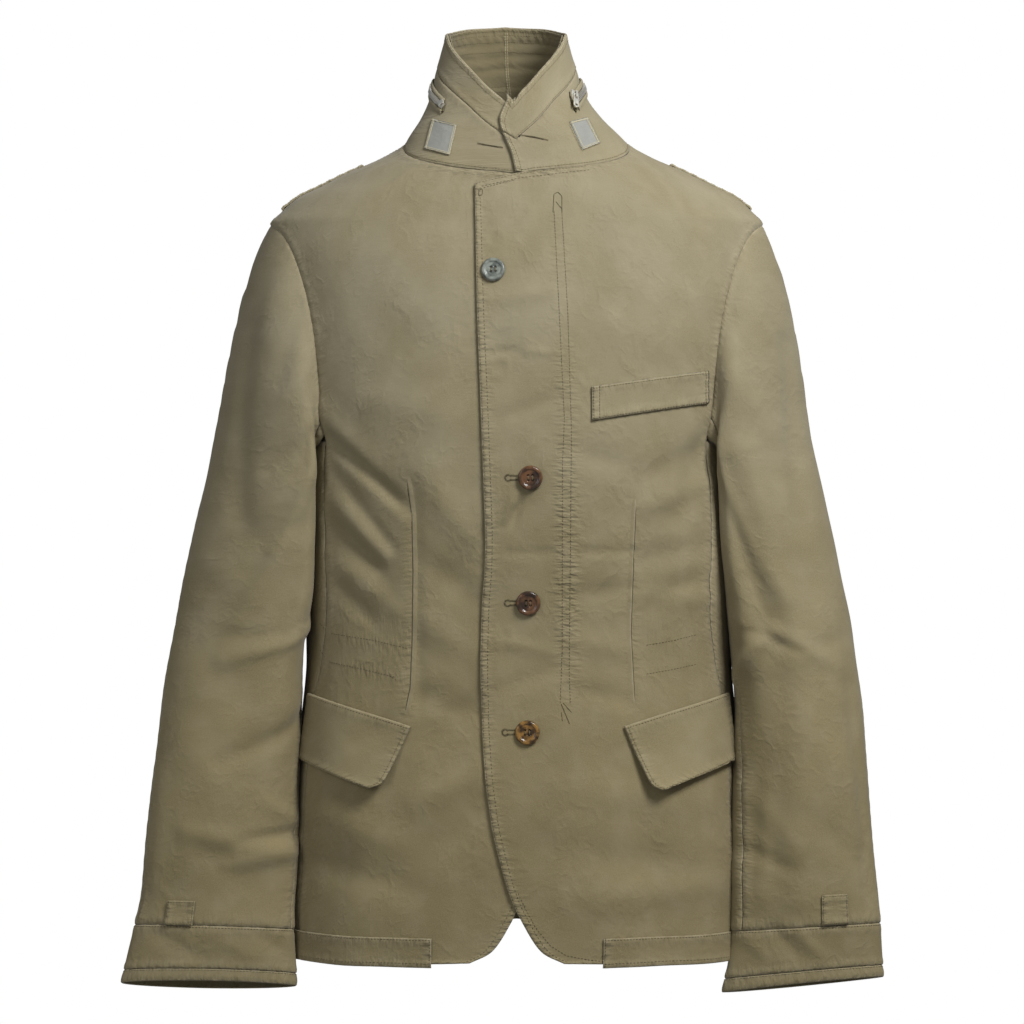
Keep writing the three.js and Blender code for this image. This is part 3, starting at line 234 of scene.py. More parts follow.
def surface_frame(surface, a, b, step_a, step_b):
    """Points of a surface and its outward normals, from small steps."""
    across = surface(a + step_a, b) - surface(a - step_a, b)
    along = surface(a, b + step_b) - surface(a, b - step_b)
    return surface(a, b), unit(np.cross(across, along))


def body_frame(degrees, z):
    return surface_frame(body_point, degrees, z, 0.2, 0.5)


def lap_shift(side, x):
    return SIGN[side] * LAP_SHIFT * (1 - smooth(LAP_INNER, LAP_OUTER, np.abs(x)))


def front_frame(side, degrees, z, out=0):
    point, normal = body_frame(degrees, z)
    push = out + lap_shift(side, point[..., 0])
    return point + normal * np.asarray(push)[..., None], normal


def world_angle(side, angle):
    return angle if side == "left" else 180 - angle


GAP_DEGREES = 0.06


def outer_boundary(t, facing):
    """Own-side angle and height of a panel's side seam, t 0 to 1, then of its armhole, t 1 to 2."""
    t = np.asarray(t, float)
    low = mix(HEM, UNDERARM_FRONT if facing < 0 else UNDERARM_BACK, np.minimum(t, 1))
    seam = body_angle(sample(SEAM_FRONT if facing < 0 else SEAM_BACK, 1, low), low, facing)
    hole = ARMHOLE_FRONT if facing < 0 else ARMHOLE_BACK
    high = sample(hole, 2, t - 1)
    edge = body_angle(sample(hole, 1, t - 1), high, facing)
    angle = np.where(t <= 1, seam, np.where(t >= 2, 0, edge)) + facing * GAP_DEGREES
    return angle, np.where(t <= 1, low, high)


def front_inner(t):
    """Own-side angle and height of a front edge, then of the neck seam."""
    t = np.asarray(t, float)
    low = sample(FRONT_EDGE, 2, t)
    edge = body_angle(sample(FRONT_EDGE, 1, t), low, -1)
    top_z = FRONT_EDGE[-1, 2]
    top = float(body_angle(FRONT_EDGE[-1, 1], top_z, -1))
    neck = mix(top, -GAP_DEGREES, (t - EDGE_TOP) / (2 - EDGE_TOP))
    lap = mix(top_z, NECK_SEAM[0, 1], (neck - top) / (-90 - top))
    high = np.where(neck < -90, lap, sample(NECK_SEAM, 1, neck))
    return np.where(t <= EDGE_TOP, edge, neck), np.where(t <= EDGE_TOP, low, high)


BACK_TOP = 1.6


def back_inner(t):
    t = np.asarray(t, float)
    neck = NECK_SEAM[-1, 1]
    low = mix(BACK_HEM, UNDERARM_BACK, t)
    middle = mix(UNDERARM_BACK, neck, (t - 1) / (BACK_TOP - 1))
    angle = np.where(t <= BACK_TOP, 90.0, mix(90.0, GAP_DEGREES, (t - BACK_TOP) / (2 - BACK_TOP)))
    high = np.where(t <= BACK_TOP, middle, sample(NECK_SEAM, 1, angle))
    return angle, np.where(t <= 1, low, high)


def underarm_height(share):
    return mix(UNDERARM_FRONT, UNDERARM_BACK, share) - UNDERARM_DIP * np.sin(np.pi * share)


def side_angle(share, t):
    front = outer_boundary(np.minimum(t, 1), -1)[0] + 2 * GAP_DEGREES
    back = outer_boundary(np.minimum(t, 1), 1)[0] - 2 * GAP_DEGREES
    return mix(front, back, share)


def armhole_spot(degrees):
    ring = np.mod(degrees, 360)
    front, back = ARMHOLE_SPLIT
    front_at = outer_boundary(2 - np.minimum(ring, front) / front, -1)
    back_at = outer_boundary(1 + (np.maximum(ring, back) - back) / (360 - back), 1)
    share = (ring - front) / (back - front)
    under = (side_angle(share, np.ones_like(share)), underarm_height(share))
    return tuple(np.where(ring < front, f, np.where(ring > back, b, u))
                 for f, b, u in zip(front_at, back_at, under))


def own_frame(side, angle, z):
    point, normal = body_frame(world_angle(side, angle), z)
    flip = np.array([SIGN[side], 1, 1])
    return point * flip, normal * flip


CAP_STEPS = np.arange(-60.0, 421.0, 1.0)
CAPS = {}


def cap_start(side, degrees):
    """The sleeve's first ring and the way it leaves the armhole, with x towards its own side."""
    if side not in CAPS:
        angle, z = armhole_spot(CAP_STEPS)
        point, normal = own_frame(side, angle, z)
        ahead = own_frame(side, *armhole_spot(CAP_STEPS + 1))[0]
        behind = own_frame(side, *armhole_spot(CAP_STEPS - 1))[0]
        away = unit(np.cross(normal, unit(ahead - behind)))
        ring = np.mod(CAP_STEPS, 360)
        leave = unit(np.stack([sample(CAP_LEAVE, k, ring) for k in (1, 2, 3)], -1))
        turn = (1 - (leave * away).sum(-1, keepdims=True)) / 2
        CAPS[side] = (point + away * SLEEVE_START + normal * SLEEVE_LIFT * turn, leave)
    return tuple(along_line(degrees, CAP_STEPS, values) for values in CAPS[side])


def arm_point(side, degrees, z):
    rows = SLEEVE[side]
    x, y, wide, deep, turn, hug, bend, drop, rise = (sample(rows, k, z) for k in range(1, 10))
    ring = np.radians(degrees)
    power = 2 / bend
    across = wide * np.sign(np.cos(ring)) * np.abs(np.cos(ring)) ** power
    along = deep * np.sign(np.sin(ring)) * np.abs(np.sin(ring)) ** power
    turn = np.radians(turn)
    share = along / deep
    pull = hug * share ** 2 * np.where(share < 0, BACK_HUG, 1)
    return np.stack([
        x + across * np.cos(turn) - along * np.sin(turn) - pull,
        y - across * np.sin(turn) - along * np.cos(turn),
        z + drop * share + rise * across / wide,
    ], -1)


def sleeve_point(side, degrees, along):
    """The sleeve's cloth on the left side: along is 0 at the armhole, 1 on the arm, 2 at the cuff seam."""
    degrees, along = np.broadcast_arrays(np.asarray(degrees, float), np.asarray(along, float))
    z = np.where(along <= 2, mix(ARM_TOP, CUFF_SEAM, along - 1), mix(CUFF_SEAM, CUFF_EDGE, along - 2))
    arm = arm_point(side, degrees, np.minimum(z, ARM_TOP))
    start, leave = cap_start(side, degrees)
    top = np.full_like(degrees, ARM_TOP)
    end = arm_point(side, degrees, top)
    run = np.linalg.norm(end - start, axis=-1, keepdims=True)
    arrive = unit(arm_point(side, degrees, top - 1) - end)
    t = np.clip(along, 0, 1)[..., None]
    t2, t3 = t * t, t * t * t
    cap = (start * (2 * t3 - 3 * t2 + 1) + leave * (t3 - 2 * t2 + t) * run
           + end * (3 * t2 - 2 * t3) + arrive * (t3 - t2) * run)
    return np.where(along[..., None] >= 1, arm, cap)


def sleeve_frame(side, degrees, along, out=0):
    degrees, along = np.broadcast_arrays(np.asarray(degrees, float), np.asarray(along, float))
    step = 0.01
    across = sleeve_point(side, degrees + 1, along) - sleeve_point(side, degrees - 1, along)
    above = sleeve_point(side, degrees, np.maximum(along - step, 0))
    down = sleeve_point(side, degrees, along + step) - above
    normal = unit(np.cross(across, down))
    point = sleeve_point(side, degrees, along)
    ring = np.mod(degrees, 360)
    fold = np.zeros_like(along)
    for a0, z0, a1, z1, width, height in SLEEVE_FOLDS[side]:
        fold += fold_height(ring * FOLD_MM_PER_DEGREE, point[..., 2], a0 * FOLD_MM_PER_DEGREE, z0,
                            a1 * FOLD_MM_PER_DEGREE, z1, width, height)
    fade = smooth(0, 0.35, along) * (1 - smooth(1.9, 2, along))
    point = point + normal * (out - fade * fold)[..., None]
    flip = np.array([SIGN[side], 1, 1])
    return point * flip, normal * flip


def own_angle(degrees):
    return np.degrees(np.arcsin(np.sin(np.radians(degrees))))


def funnel_point(degrees, z):
    angle = np.radians(degrees)
    deep = np.where(np.sin(angle) < 0, sample(COLLAR, 2, z), sample(COLLAR, 3, z))
    radius = ring_radius(angle, sample(COLLAR, 1, z), deep, COLLAR_BEND)
    return np.stack([radius * np.cos(angle) + sample(COLLAR, 4, z), radius * np.sin(angle), z], -1)


def collar_point(degrees, z):
    degrees, z = np.broadcast_arrays(np.asarray(degrees, float), np.asarray(z, float))
    own = own_angle(degrees)
    foot, top = sample(NECK_SEAM, 1, own), sample(COLLAR_TOP, 1, own)
    rest = np.clip((top - z) / (top - foot), 0, 1)[..., None]
    return funnel_point(degrees, z) + (body_point(degrees, foot) - funnel_point(degrees, foot)) * rest * rest


def collar_frame(degrees, z, out=0):
    point, normal = surface_frame(collar_point, degrees, z, 0.3, 0.5)
    x = point[..., 0]
    shift = np.where(np.asarray(degrees) < 90, lap_shift("left", x), lap_shift("right", x))
    return point + normal * (out + shift)[..., None], normal


def collar_angle(side, x, z):
    """World angle on the front of the collar at an x towards its own side and a height."""
    low, high = np.full(np.shape(x), -90.0), np.zeros(np.shape(x))
    for _ in range(30):
        middle = (low + high) / 2
        inside = np.abs(collar_point(world_angle(side, middle), z)[..., 0]) < x
        low, high = np.where(inside, middle, low), np.where(inside, high, middle)
    return world_angle(side, (low + high) / 2)


# Soft relief on top of the CAD form
PX = 0.848
MIDDLE_COLUMN, MIDDLE_ROW, MIDDLE_Z = 516.5, 512.0, -327.0


def seen(col, row):
    """x and z in mm of a place measured in the photograph's view, on the front of the body."""
    return (col - MIDDLE_COLUMN) * PX, MIDDLE_Z + (MIDDLE_ROW - row) * PX


def seen_rows(rows):
    """Lines given as both ends' column and row, then width and height, with the ends turned to mm."""
    return [(*seen(c0, r0), *seen(c1, r1), width, height) for c0, r0, c1, r1, width, height in rows]


BODY_CREASES = seen_rows([
    (484, 353, 520, 351, 2.6, -0.9), (522, 351, 558, 354, 3.0, 0.7),
    (507, 553, 553, 553, 2.6, -1.0), (576, 553, 633, 551, 3.0, -1.1),
    (515, 495, 505, 520, 4.5, 1.4), (520, 500, 512, 524, 3.5, -1.2),
    (490, 300, 552, 292, 7, 0.9), (498, 420, 556, 398, 7, -1.0),
    (492, 640, 550, 652, 6, 1.0), (500, 690, 560, 668, 7, -0.9),
    (326, 436, 398, 500, 5, -2.0), (332, 452, 404, 520, 6, 1.8),
    (334, 474, 392, 548, 5, -1.6), (330, 520, 378, 566, 5, -1.8),
    (334, 500, 384, 556, 6, 1.5), (340, 588, 372, 622, 6, -1.5),
    (344, 566, 396, 612, 8, 1.3), (420, 470, 470, 540, 14, 1.6),
    (424, 560, 474, 600, 12, -1.5), (420, 620, 472, 650, 13, 1.4),
    (424, 700, 476, 716, 12, -1.4), (416, 800, 474, 776, 13, 1.8),
    (330, 820, 400, 846, 15, 1.6), (320, 868, 410, 890, 14, -1.6),
    (576, 452, 630, 468, 9, -1.0), (574, 596, 628, 588, 8, -1.2),
    (574, 640, 626, 652, 9, 1.1), (574, 690, 624, 700, 8, -1.1),
    (640, 480, 706, 446, 10, -1.6), (644, 508, 710, 480, 9, 1.5),
    (640, 560, 700, 546, 10, -1.5), (640, 596, 706, 600, 9, 1.3),
    (560, 790, 700, 806, 15, 1.2), (540, 846, 690, 870, 16, -1.4),
    (566, 902, 716, 888, 14, 1.3), (598, 326, 690, 346, 16, 0.6),
    (600, 250, 706, 268, 18, -0.4), (350, 246, 452, 276, 18, 0.4),
    (340, 300, 440, 352, 16, -0.5), (360, 396, 462, 420, 15, 0.9),
    (326, 250, 350, 330, 14, 0.4), (724, 250, 700, 330, 14, 0.4),
    (414, 480, 418, 712, 6, -0.9), (630, 500, 627, 706, 6, -0.9),
    (418, 700, 440, 690, 9, -1.2), (400, 720, 360, 744, 10, -1.2),
])
BACK_CREASES = [
    (-150, -150, -60, -130, 16, 2.0), (150, -160, 50, -140, 16, 2.0), (-140, -330, -40, -350, 14, -2.0),
    (140, -350, 40, -372, 14, -2.0), (-130, -400, -30, -428, 9, 2.0), (128, -396, 30, -420, 9, 2.2),
    (-130, -500, -40, -486, 10, -2.0), (126, -498, 40, -500, 10, -2.0), (-100, -560, -120, -700, 20, -2.5),
    (112, -560, 128, -700, 20, -2.4),
]
SLEEVE_CREASES = {
    "right": seen_rows([
        (280, 262, 258, 330, 10, 1.1), (296, 300, 276, 380, 9, -1.2), (306, 360, 262, 430, 10, 1.1),
        (318, 430, 268, 470, 8, -1.6), (316, 470, 250, 520, 10, 1.3), (312, 520, 260, 540, 9, -1.0),
        (220, 480, 262, 560, 14, -0.9), (200, 560, 250, 600, 14, 0.9), (300, 636, 212, 640, 7, -0.9),
        (190, 640, 240, 700, 16, -0.8), (290, 700, 230, 730, 14, 0.8), (180, 740, 222, 800, 16, 0.8),
        (290, 838, 240, 844, 6, -2.2), (288, 856, 226, 868, 8, 1.8), (286, 826, 262, 806, 6, 1.2),
        (156, 780, 150, 890, 9, 1.0), (200, 850, 240, 884, 12, -0.9), (274, 480, 262, 700, 18, 1.0),
        (150, 934, 200, 962, 7, -1.0), (210, 938, 262, 966, 7, 0.9), (252, 934, 286, 962, 6, -1.0),
    ]),
    "left": seen_rows([
        (744, 250, 772, 330, 10, 1.1), (732, 300, 760, 384, 9, -1.2), (722, 360, 772, 430, 10, 1.0),
        (748, 452, 803, 650, 14, 3.2), (803, 660, 800, 900, 16, 3.0), (724, 470, 768, 620, 13, -2.0),
        (758, 632, 802, 654, 5, -1.5), (752, 660, 796, 672, 9, 0.4), (730, 600, 762, 640, 9, 0.8),
        (736, 700, 742, 880, 9, 1.2), (762, 690, 768, 880, 12, -1.8), (808, 652, 846, 640, 8, -0.9),
        (820, 470, 838, 700, 16, 1.0), (808, 720, 852, 780, 14, 0.9), (752, 790, 800, 852, 9, 0.9),
        (812, 820, 860, 860, 12, -0.9), (748, 852, 792, 872, 7, -1.1), (790, 500, 812, 560, 12, 0.9),
        (775, 932, 800, 958, 6, -1.3), (800, 934, 824, 960, 6, 1.2), (744, 936, 770, 962, 7, 1.0),
    ]),
}


def uneven(a, b, scale, seed):
    """Slow irregular field of about unit height, the same on every run."""
    total = np.zeros(np.shape(a))
    for k, (turn, step) in enumerate([(0.3, 1.0), (1.5, 1.31), (2.4, 0.83), (0.9, 1.93), (2.0, 2.4)]):
        phase = seed * 1.7 + k * 2.1
        run = (np.cos(turn) * a + np.sin(turn) * b) * step / scale
        total += np.sin(run + phase + 0.8 * np.sin(b / scale * 0.37 + phase)) / (1 + 0.6 * k)
    return total / 2.2


def measure(point):
    """Distances along the cloth from the first and last column and row."""
    across = np.linalg.norm(np.diff(point, axis=1), axis=-1)
    down = np.linalg.norm(np.diff(point, axis=0), axis=-1)
    u = np.concatenate([np.zeros((point.shape[0], 1)), np.cumsum(across, 1)], 1)
    v = np.concatenate([np.zeros((1, point.shape[1])), np.cumsum(down, 0)], 0)
    return {"start": u, "end": u[:, -1:] - u, "low": v, "high": v[-1:] - v}


# How a piece's cloth goes at one of its edges: roll into the edge, ridge and its distance from the edge,
# puckers along it and their length, reach of the puckers, strength of the fine ones in the finish
EDGES = {
    "seam": (0.45, 0.35, 5.0, 0.22, 13.0, 9.0, 0.5),
    "turned": (0.2, 0.5, 3.0, 0.3, 9.5, 8.0, 0.7),
    "flush": (0.1, 0.3, 4.0, 0.12, 12.0, 8.0, 0.4),
    "front": (0.15, 0.5, 3.4, 0.34, 8.2, 9.0, 1.0),
}
ALL_EDGES = ("start", "end", "low", "high")
ALL_TURNED = {edge: "turned" for edge in ALL_EDGES}


def edge_relief(point, edges, seed):
    far = measure(point)
    total = np.zeros(point.shape[:2])
    for edge, kind in edges.items():
        roll, ridge, ridge_at, pucker, wave, reach, _ = EDGES[kind]
        away, run = far[edge], far["low" if edge in ("start", "end") else "start"]
        total -= roll * np.exp(-((away / 1.3) ** 2))
        total += ridge * np.exp(-(((away - ridge_at) / 2.8) ** 2))
        strength = 0.65 + 0.5 * uneven(run, run * 0.3, 30, seed + len(edge))
        ripple = np.sin(2 * np.pi * run / wave + 1.6 * uneven(run, run, 22, seed))
        total += pucker * strength * ripple * np.exp(-((away / reach) ** 2))
    return total


CREASE_RISE = 1.75


def view_relief(point, creases):
    x, z = point[..., 0], point[..., 2]
    total = np.zeros(point.shape[:2])
    for line in creases:
        total += fold_height(x, z, *line)
    return total * CREASE_RISE


# Puckers across a stitched line: its ends, reach, strength
GATHERS = seen_rows([
    (554, 209, 562, 440, 6, 0.7), (562, 440, 562, 702, 7, 1.1),
    (566, 240, 571, 440, 7, 0.8), (571, 440, 570, 702, 8, 1.1),
    (328, 638, 408, 648, 7, 0.6), (646, 646, 698, 638, 7, 0.6),
    (328, 664, 395, 678, 7, 0.6), (646, 674, 698, 666, 7, 0.6),
    (330, 612, 404, 626, 12, 0.3), (640, 628, 700, 620, 11, 0.3),
    (406, 473, 412, 600, 8, 0.45), (412, 600, 405, 717, 8, 0.45),
    (636, 498, 632, 600, 8, 0.45), (632, 600, 634, 708, 8, 0.45),
])
# Rings pressed into the cloth by the snaps under it
SNAPS = [seen(494, 238), seen(499, 368), seen(503, 638)]
SNAP_RADIUS = 8.0


def snaps_relief(point):
    total = np.zeros(point.shape[:2])
    for sx, sz in SNAPS:
        far = np.hypot(point[..., 0] - sx, point[..., 2] - sz)
        total += 0.6 * np.exp(-(((far - SNAP_RADIUS) / 1.9) ** 2)) - 0.4 * np.exp(-((far / 4) ** 2))
    return total


def front_pulls(point):
    """Strength of the puckers round the stitched lines of the fronts."""
    x, z = point[..., 0], point[..., 2]
    pulls = {"pull_u": np.zeros(x.shape), "pull_v": np.zeros(x.shape)}
    for x0, z0, x1, z1, reach, strength in GATHERS:
        near = fold_height(x, z, x0, z0, x1, z1, reach, strength) * (point[..., 1] < 0)
        key = "pull_u" if abs(x1 - x0) > abs(z1 - z0) else "pull_v"
        pulls[key] = np.maximum(pulls[key], near * (0.75 + 0.5 * uneven(x, z, 30, 6)))
    return pulls


def spread(length, coarse, fine=1.2, reach=9.0):
    """Shares from 0 to 1 that lie close together at both ends."""
    steps = []
    place = 0.0
    while place < length:
        edge = min(place, length - place)
        step = fine + (coarse - fine) * float(smooth(0, reach, edge))
        steps.append(place)
        place += step
    steps = np.array(steps + [length])
    return steps / length


COLLECTED = {}


def link_object(name, data):
    obj = bpy.data.objects.new(name, data)
    bpy.context.scene.collection.objects.link(obj)
    return obj


def mesh_object(name, vertices, faces, uv=None, edge=None, pulls=None):
    """Mesh from mm, with pattern coordinates in mm, distance from the edge and the puckers' strength."""
    mesh = bpy.data.meshes.new(name)
    mesh.from_pydata((vertices * MM).tolist(), [], faces)
    mesh.update()
    loops = np.zeros(len(mesh.loops), np.int32)
    mesh.loops.foreach_get("vertex_index", loops)
    if uv is not None:
        layer = mesh.uv_layers.new(name="cloth_mm")
        layer.data.foreach_set("uv", uv[loops].astype(np.float32).ravel())
    if edge is not None:
        mesh.attributes.new("edge_mm", "FLOAT", "POINT").data.foreach_set("value", edge.astype(np.float32))
    for key, pull in (pulls or {}).items():
        mesh.attributes.new(key, "FLOAT", "POINT").data.foreach_set("value", pull.astype(np.float32))
    mesh.polygons.foreach_set("use_smooth", np.ones(len(mesh.polygons), bool))
    return link_object(name, mesh)


def shell(name, point, normal, thickness, offset=(0, 0), tube=False, pulls=None, laid=None):
    """Thin closed shell about a grid of points, with a rounded rim that stays inside the grid."""
    rows, cols = point.shape[:2]
    far = measure(point)
    near = np.minimum(far["low"], far["high"])
    if not tube:
        near = np.minimum(near, np.minimum(far["start"], far["end"]))
    inward = np.zeros_like(point)
    inward[0] += unit(point[1] - point[0])
    inward[-1] += unit(point[-2] - point[-1])
    if not tube:
        inward[:, 0] += unit(point[:, 1] - point[:, 0])
        inward[:, -1] += unit(point[:, -2] - point[:, -1])
    pulled = point + inward * thickness * 0.4
    outer = pulled + normal * thickness / 2
    inner = pulled - normal * thickness / 2
    ids = np.arange(rows * cols).reshape(rows, cols)
    quads = np.stack([ids[:-1, :-1], ids[:-1, 1:], ids[1:, 1:], ids[1:, :-1]], -1).reshape(-1, 4)
    if tube:
        joined = [ids[:-1, -1], ids[:-1, 0], ids[1:, 0], ids[1:, -1]]
        quads = np.concatenate([quads, np.stack(joined, -1)])
        loops = [ids[0], ids[-1][::-1]]
    else:
        loops = [np.concatenate([ids[0, :-1], ids[:-1, -1], ids[-1, :0:-1], ids[:0:-1, 0]])]
    a, b, c = (outer.reshape(-1, 3)[quads[len(quads) // 2][k]] for k in (0, 1, 2))
    outward = np.dot(np.cross(b - a, c - a), normal.reshape(-1, 3)[quads[len(quads) // 2][0]]) > 0
    count = rows * cols
    faces = [quads if outward else quads[:, ::-1], (quads[:, ::-1] if outward else quads) + count]
    extra, extra_uv, rims = [], [], []
    laid = laid or (far["start"], far["low"])
    flat = np.stack([laid[0] + offset[0], laid[1] + offset[1]], -1).reshape(-1, 2)
    placed = 2 * count
    for loop in loops:
        after = np.roll(loop, -1)
        rim = placed + np.arange(len(loop))
        rim_after = np.roll(rim, -1)
        extra.append(point.reshape(-1, 3)[loop])
        extra_uv.append(flat[loop])
        rims.append(loop)
        placed += len(loop)
        up = np.stack([after, loop, rim, rim_after], -1)
        down = np.stack([rim_after, rim, loop + count, after + count], -1)
        for side in (up, down):
            faces.append(side if outward else side[:, ::-1])
    vertices = np.concatenate([outer.reshape(-1, 3), inner.reshape(-1, 3), *extra])
    uv = np.concatenate([flat, flat, *extra_uv])
    edge = np.concatenate([near.ravel(), near.ravel(), np.zeros(placed - 2 * count)])
    spots = np.concatenate([np.arange(count), np.arange(count), *rims])
    pulls = {key: pull.ravel()[spots] for key, pull in (pulls or {}).items()}
    obj = mesh_object(name, vertices, np.concatenate(faces).tolist(), uv, edge, pulls)
    COLLECTED[name] = {"outer": outer, "normal": normal, "far": far, "object": obj}
    return obj


def finish_piece(obj, node, material, body="garment"):
    obj.data.materials.clear()
    obj.data.materials.append(material)
    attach(obj, body)
    if node:
        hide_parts(node)
    return obj


def flat_size(name):
    """Width, length and area in metres of the middle of a piece's cloth, as a cutter would lay it out."""
    grid = COLLECTED[name]["outer"]
    a = grid[1:, 1:] - grid[:-1, :-1]
    b = grid[1:, :-1] - grid[:-1, 1:]
    area = np.linalg.norm(np.cross(a, b), axis=-1).sum() / 2
    far = COLLECTED[name]["far"]
    wide, long = far["start"][:, -1].max(), far["low"][-1].max()
    return wide * MM, long * MM, area * MM * MM


# Materials
def linear(code):
    """sRGB hex to the linear colour that a shader takes."""
    parts = [int(code[k:k + 2], 16) / 255 for k in (1, 3, 5)]
    return (*[c / 12.92 if c <= 0.04045 else ((c + 0.055) / 1.055) ** 2.4 for c in parts], 1)


def add(tree, kind, inputs=None, **settings):
    node = tree.nodes.new(kind)
    for key, value in settings.items():
        setattr(node, key, value)
    for key, value in (inputs or {}).items():
        if isinstance(value, bpy.types.NodeSocket):
            tree.links.new(value, node.inputs[key])
        else:
            node.inputs[key].default_value = value
    return node


def new_material(name):
    material = bpy.data.materials.new(name)
    material.use_nodes = True
    tree = material.node_tree
    tree.nodes.clear()
    output = tree.nodes.new("ShaderNodeOutputMaterial")
    shader = tree.nodes.new("ShaderNodeBsdfPrincipled")
    tree.links.new(shader.outputs["BSDF"], output.inputs["Surface"])
    return material, tree, shader


def noise(tree, vector, period, detail=2.0):
    inputs = {"Vector": vector, "Scale": 1 / period, "Detail": detail}
    return add(tree, "ShaderNodeTexNoise", inputs).outputs["Fac"]


def ranged(tree, value, low, high, to_low=0.0, to_high=1.0):
    inputs = {"Value": value, "From Min": low, "From Max": high, "To Min": to_low, "To Max": to_high}
    return add(tree, "ShaderNodeMapRange", inputs).outputs["Result"]


def blend(tree, share, first, second):
    inputs = {"Factor": share, 6: first, 7: second}
    return add(tree, "ShaderNodeMix", inputs, data_type="RGBA").outputs[2]


def math_node(tree, operation, first, second):
    return add(tree, "ShaderNodeMath", {0: first, 1: second}, operation=operation).outputs["Value"]


TWILL_MM = 0.9
PAINTED_TOP_LIGHT, TOP_LIGHT_FROM, TOP_LIGHT_TO = "#8f8872", -520.0, -160.0  # greyer, paler colour higher up: painted light, as if lit whiter from above
WAVE_UNITS = 0.628  # a diagonal wave of scale 1 repeats along an axis at this length


def cloth_material(name, base, dark, pale, worn=0.5, wrinkle=0.22, fade=0.8):
    """Brushed cotton twill: mottled, rubbed pale at its edges, with the twill and fine creases as bump."""
    material, tree, shader = new_material(name)
    uv = add(tree, "ShaderNodeUVMap", uv_map="cloth_mm").outputs["UV"]
    streaks = add(tree, "ShaderNodeMapping", {"Vector": uv, "Scale": (0.25, 1.6, 1)}).outputs["Vector"]
    edge = add(tree, "ShaderNodeAttribute", attribute_name="edge_mm").outputs["Fac"]
    place = add(tree, "ShaderNodeTexCoord").outputs["Object"]
    height_up = add(tree, "ShaderNodeSeparateXYZ", {"Vector": place}).outputs["Z"]
    # Painted light: the colour turns greyer and paler higher up, as much as fade says, as if lit whiter from
    # above
    top_light = ranged(tree, height_up, TOP_LIGHT_FROM * MM, TOP_LIGHT_TO * MM, 0, fade)
    ground = blend(tree, top_light, linear(base), linear(PAINTED_TOP_LIGHT))
    colour = blend(tree, ranged(tree, noise(tree, uv, 85, 3), 0.36, 0.66, 0, 0.5), ground, linear(dark))
    rubbed = ranged(tree, noise(tree, uv, 26, 5), 0.46, 0.74, 0, 0.26)
    colour = blend(tree, rubbed, colour, linear(pale))
    streak = ranged(tree, noise(tree, streaks, 3.2, 4), 0.35, 0.7, 0, 0.13)
    colour = blend(tree, streak, colour, linear(dark))
    fibre = ranged(tree, noise(tree, uv, 1.1, 2), 0.3, 0.75, 0, 0.32)
    colour = blend(tree, fibre, colour, linear(pale))
    # Painted shade beside the seams, with some dirt there too: darker from about 1 to 6 mm in from each edge
    shade_and_grime = math_node(tree, "MULTIPLY", ranged(tree, edge, 2.0, 6.0, 0.14, 0), ranged(tree, edge, 0.7, 1.6))
    colour = blend(tree, shade_and_grime, colour, linear(dark))
    rub = ranged(tree, noise(tree, uv, 7, 3), 0.35, 0.6, 0.35, 1)
    for reach, share in ((1.5, worn), (10.0, worn * 0.6)):
        rim = math_node(tree, "MULTIPLY", ranged(tree, edge, 0.2, reach, share, 0), rub)
        colour = blend(tree, rim, colour, linear(pale))
    twill = add(tree, "ShaderNodeTexWave", {"Vector": uv, "Scale": WAVE_UNITS / TWILL_MM, "Distortion": 0.6},
                bands_direction="DIAGONAL").outputs["Fac"]
    height = math_node(tree, "MULTIPLY", twill, 0.035)
    for period, share in ((0.7, 0.07), (9.0, wrinkle * 1.2), (22.0, wrinkle * 2.4)):
        scaled = math_node(tree, "MULTIPLY", noise(tree, uv, period, 3), share)
        height = math_node(tree, "ADD", height, scaled)
    for key, scale in (("pull_u", (0.26, 0.09, 1)), ("pull_v", (0.08, 0.27, 1))):
        pull = add(tree, "ShaderNodeAttribute", attribute_name=key).outputs["Fac"]
        folded = add(tree, "ShaderNodeMapping", {"Vector": uv, "Scale": scale}).outputs["Vector"]
        ripple = ranged(tree, noise(tree, folded, 1.0, 1.5), 0.36, 0.64)
        height = math_node(tree, "ADD", height, math_node(tree, "MULTIPLY", ripple, pull))
    # Sharp little creases: thin lines where a slow noise passes its middle value
    for period, share in ((31.0, wrinkle * 1.5), (15.0, wrinkle * 0.9)):
        middle = math_node(tree, "SUBTRACT", noise(tree, uv, period, 2.5), 0.5)
        line = math_node(tree, "ABSOLUTE", middle, 0.0)
        patchy = ranged(tree, noise(tree, uv, period * 2.2, 1), 0.42, 0.62, 0, share)
        sharp = math_node(tree, "MULTIPLY", ranged(tree, line, 0.0, 0.08, 1, 0), patchy)
        height = math_node(tree, "ADD", height, sharp)
    bump = add(tree, "ShaderNodeBump", {"Height": height, "Distance": MM, "Strength": 0.9})
    tree.links.new(colour, shader.inputs["Base Color"])
    tree.links.new(bump.outputs["Normal"], shader.inputs["Normal"])
    shader.inputs["Roughness"].default_value = 0.92
    shader.inputs["Sheen Weight"].default_value = 0.12
    shader.inputs["Specular IOR Level"].default_value = 0.18
    return material


def plain_material(name, base, roughness, metallic=0.0, coat=0.0, second=None, period=4.0, bump=0.0):
    """A one-colour finish, or two colours marbled in the object's own coordinates, in mm."""
    material, tree, shader = new_material(name)
    shader.inputs["Base Color"].default_value = linear(base)
    shader.inputs["Roughness"].default_value = roughness
    shader.inputs["Metallic"].default_value = metallic
    shader.inputs["Coat Weight"].default_value = coat
    place = add(tree, "ShaderNodeTexCoord").outputs["Object"]
    grain = noise(tree, place, period * MM, 4)
    if second:
        colour = blend(tree, ranged(tree, grain, 0.42, 0.6), linear(base), linear(second))
        tree.links.new(colour, shader.inputs["Base Color"])
    if bump:
        node = add(tree, "ShaderNodeBump", {"Height": grain, "Distance": bump * MM, "Strength": 0.8})
        tree.links.new(node.outputs["Normal"], shader.inputs["Normal"])
    return material


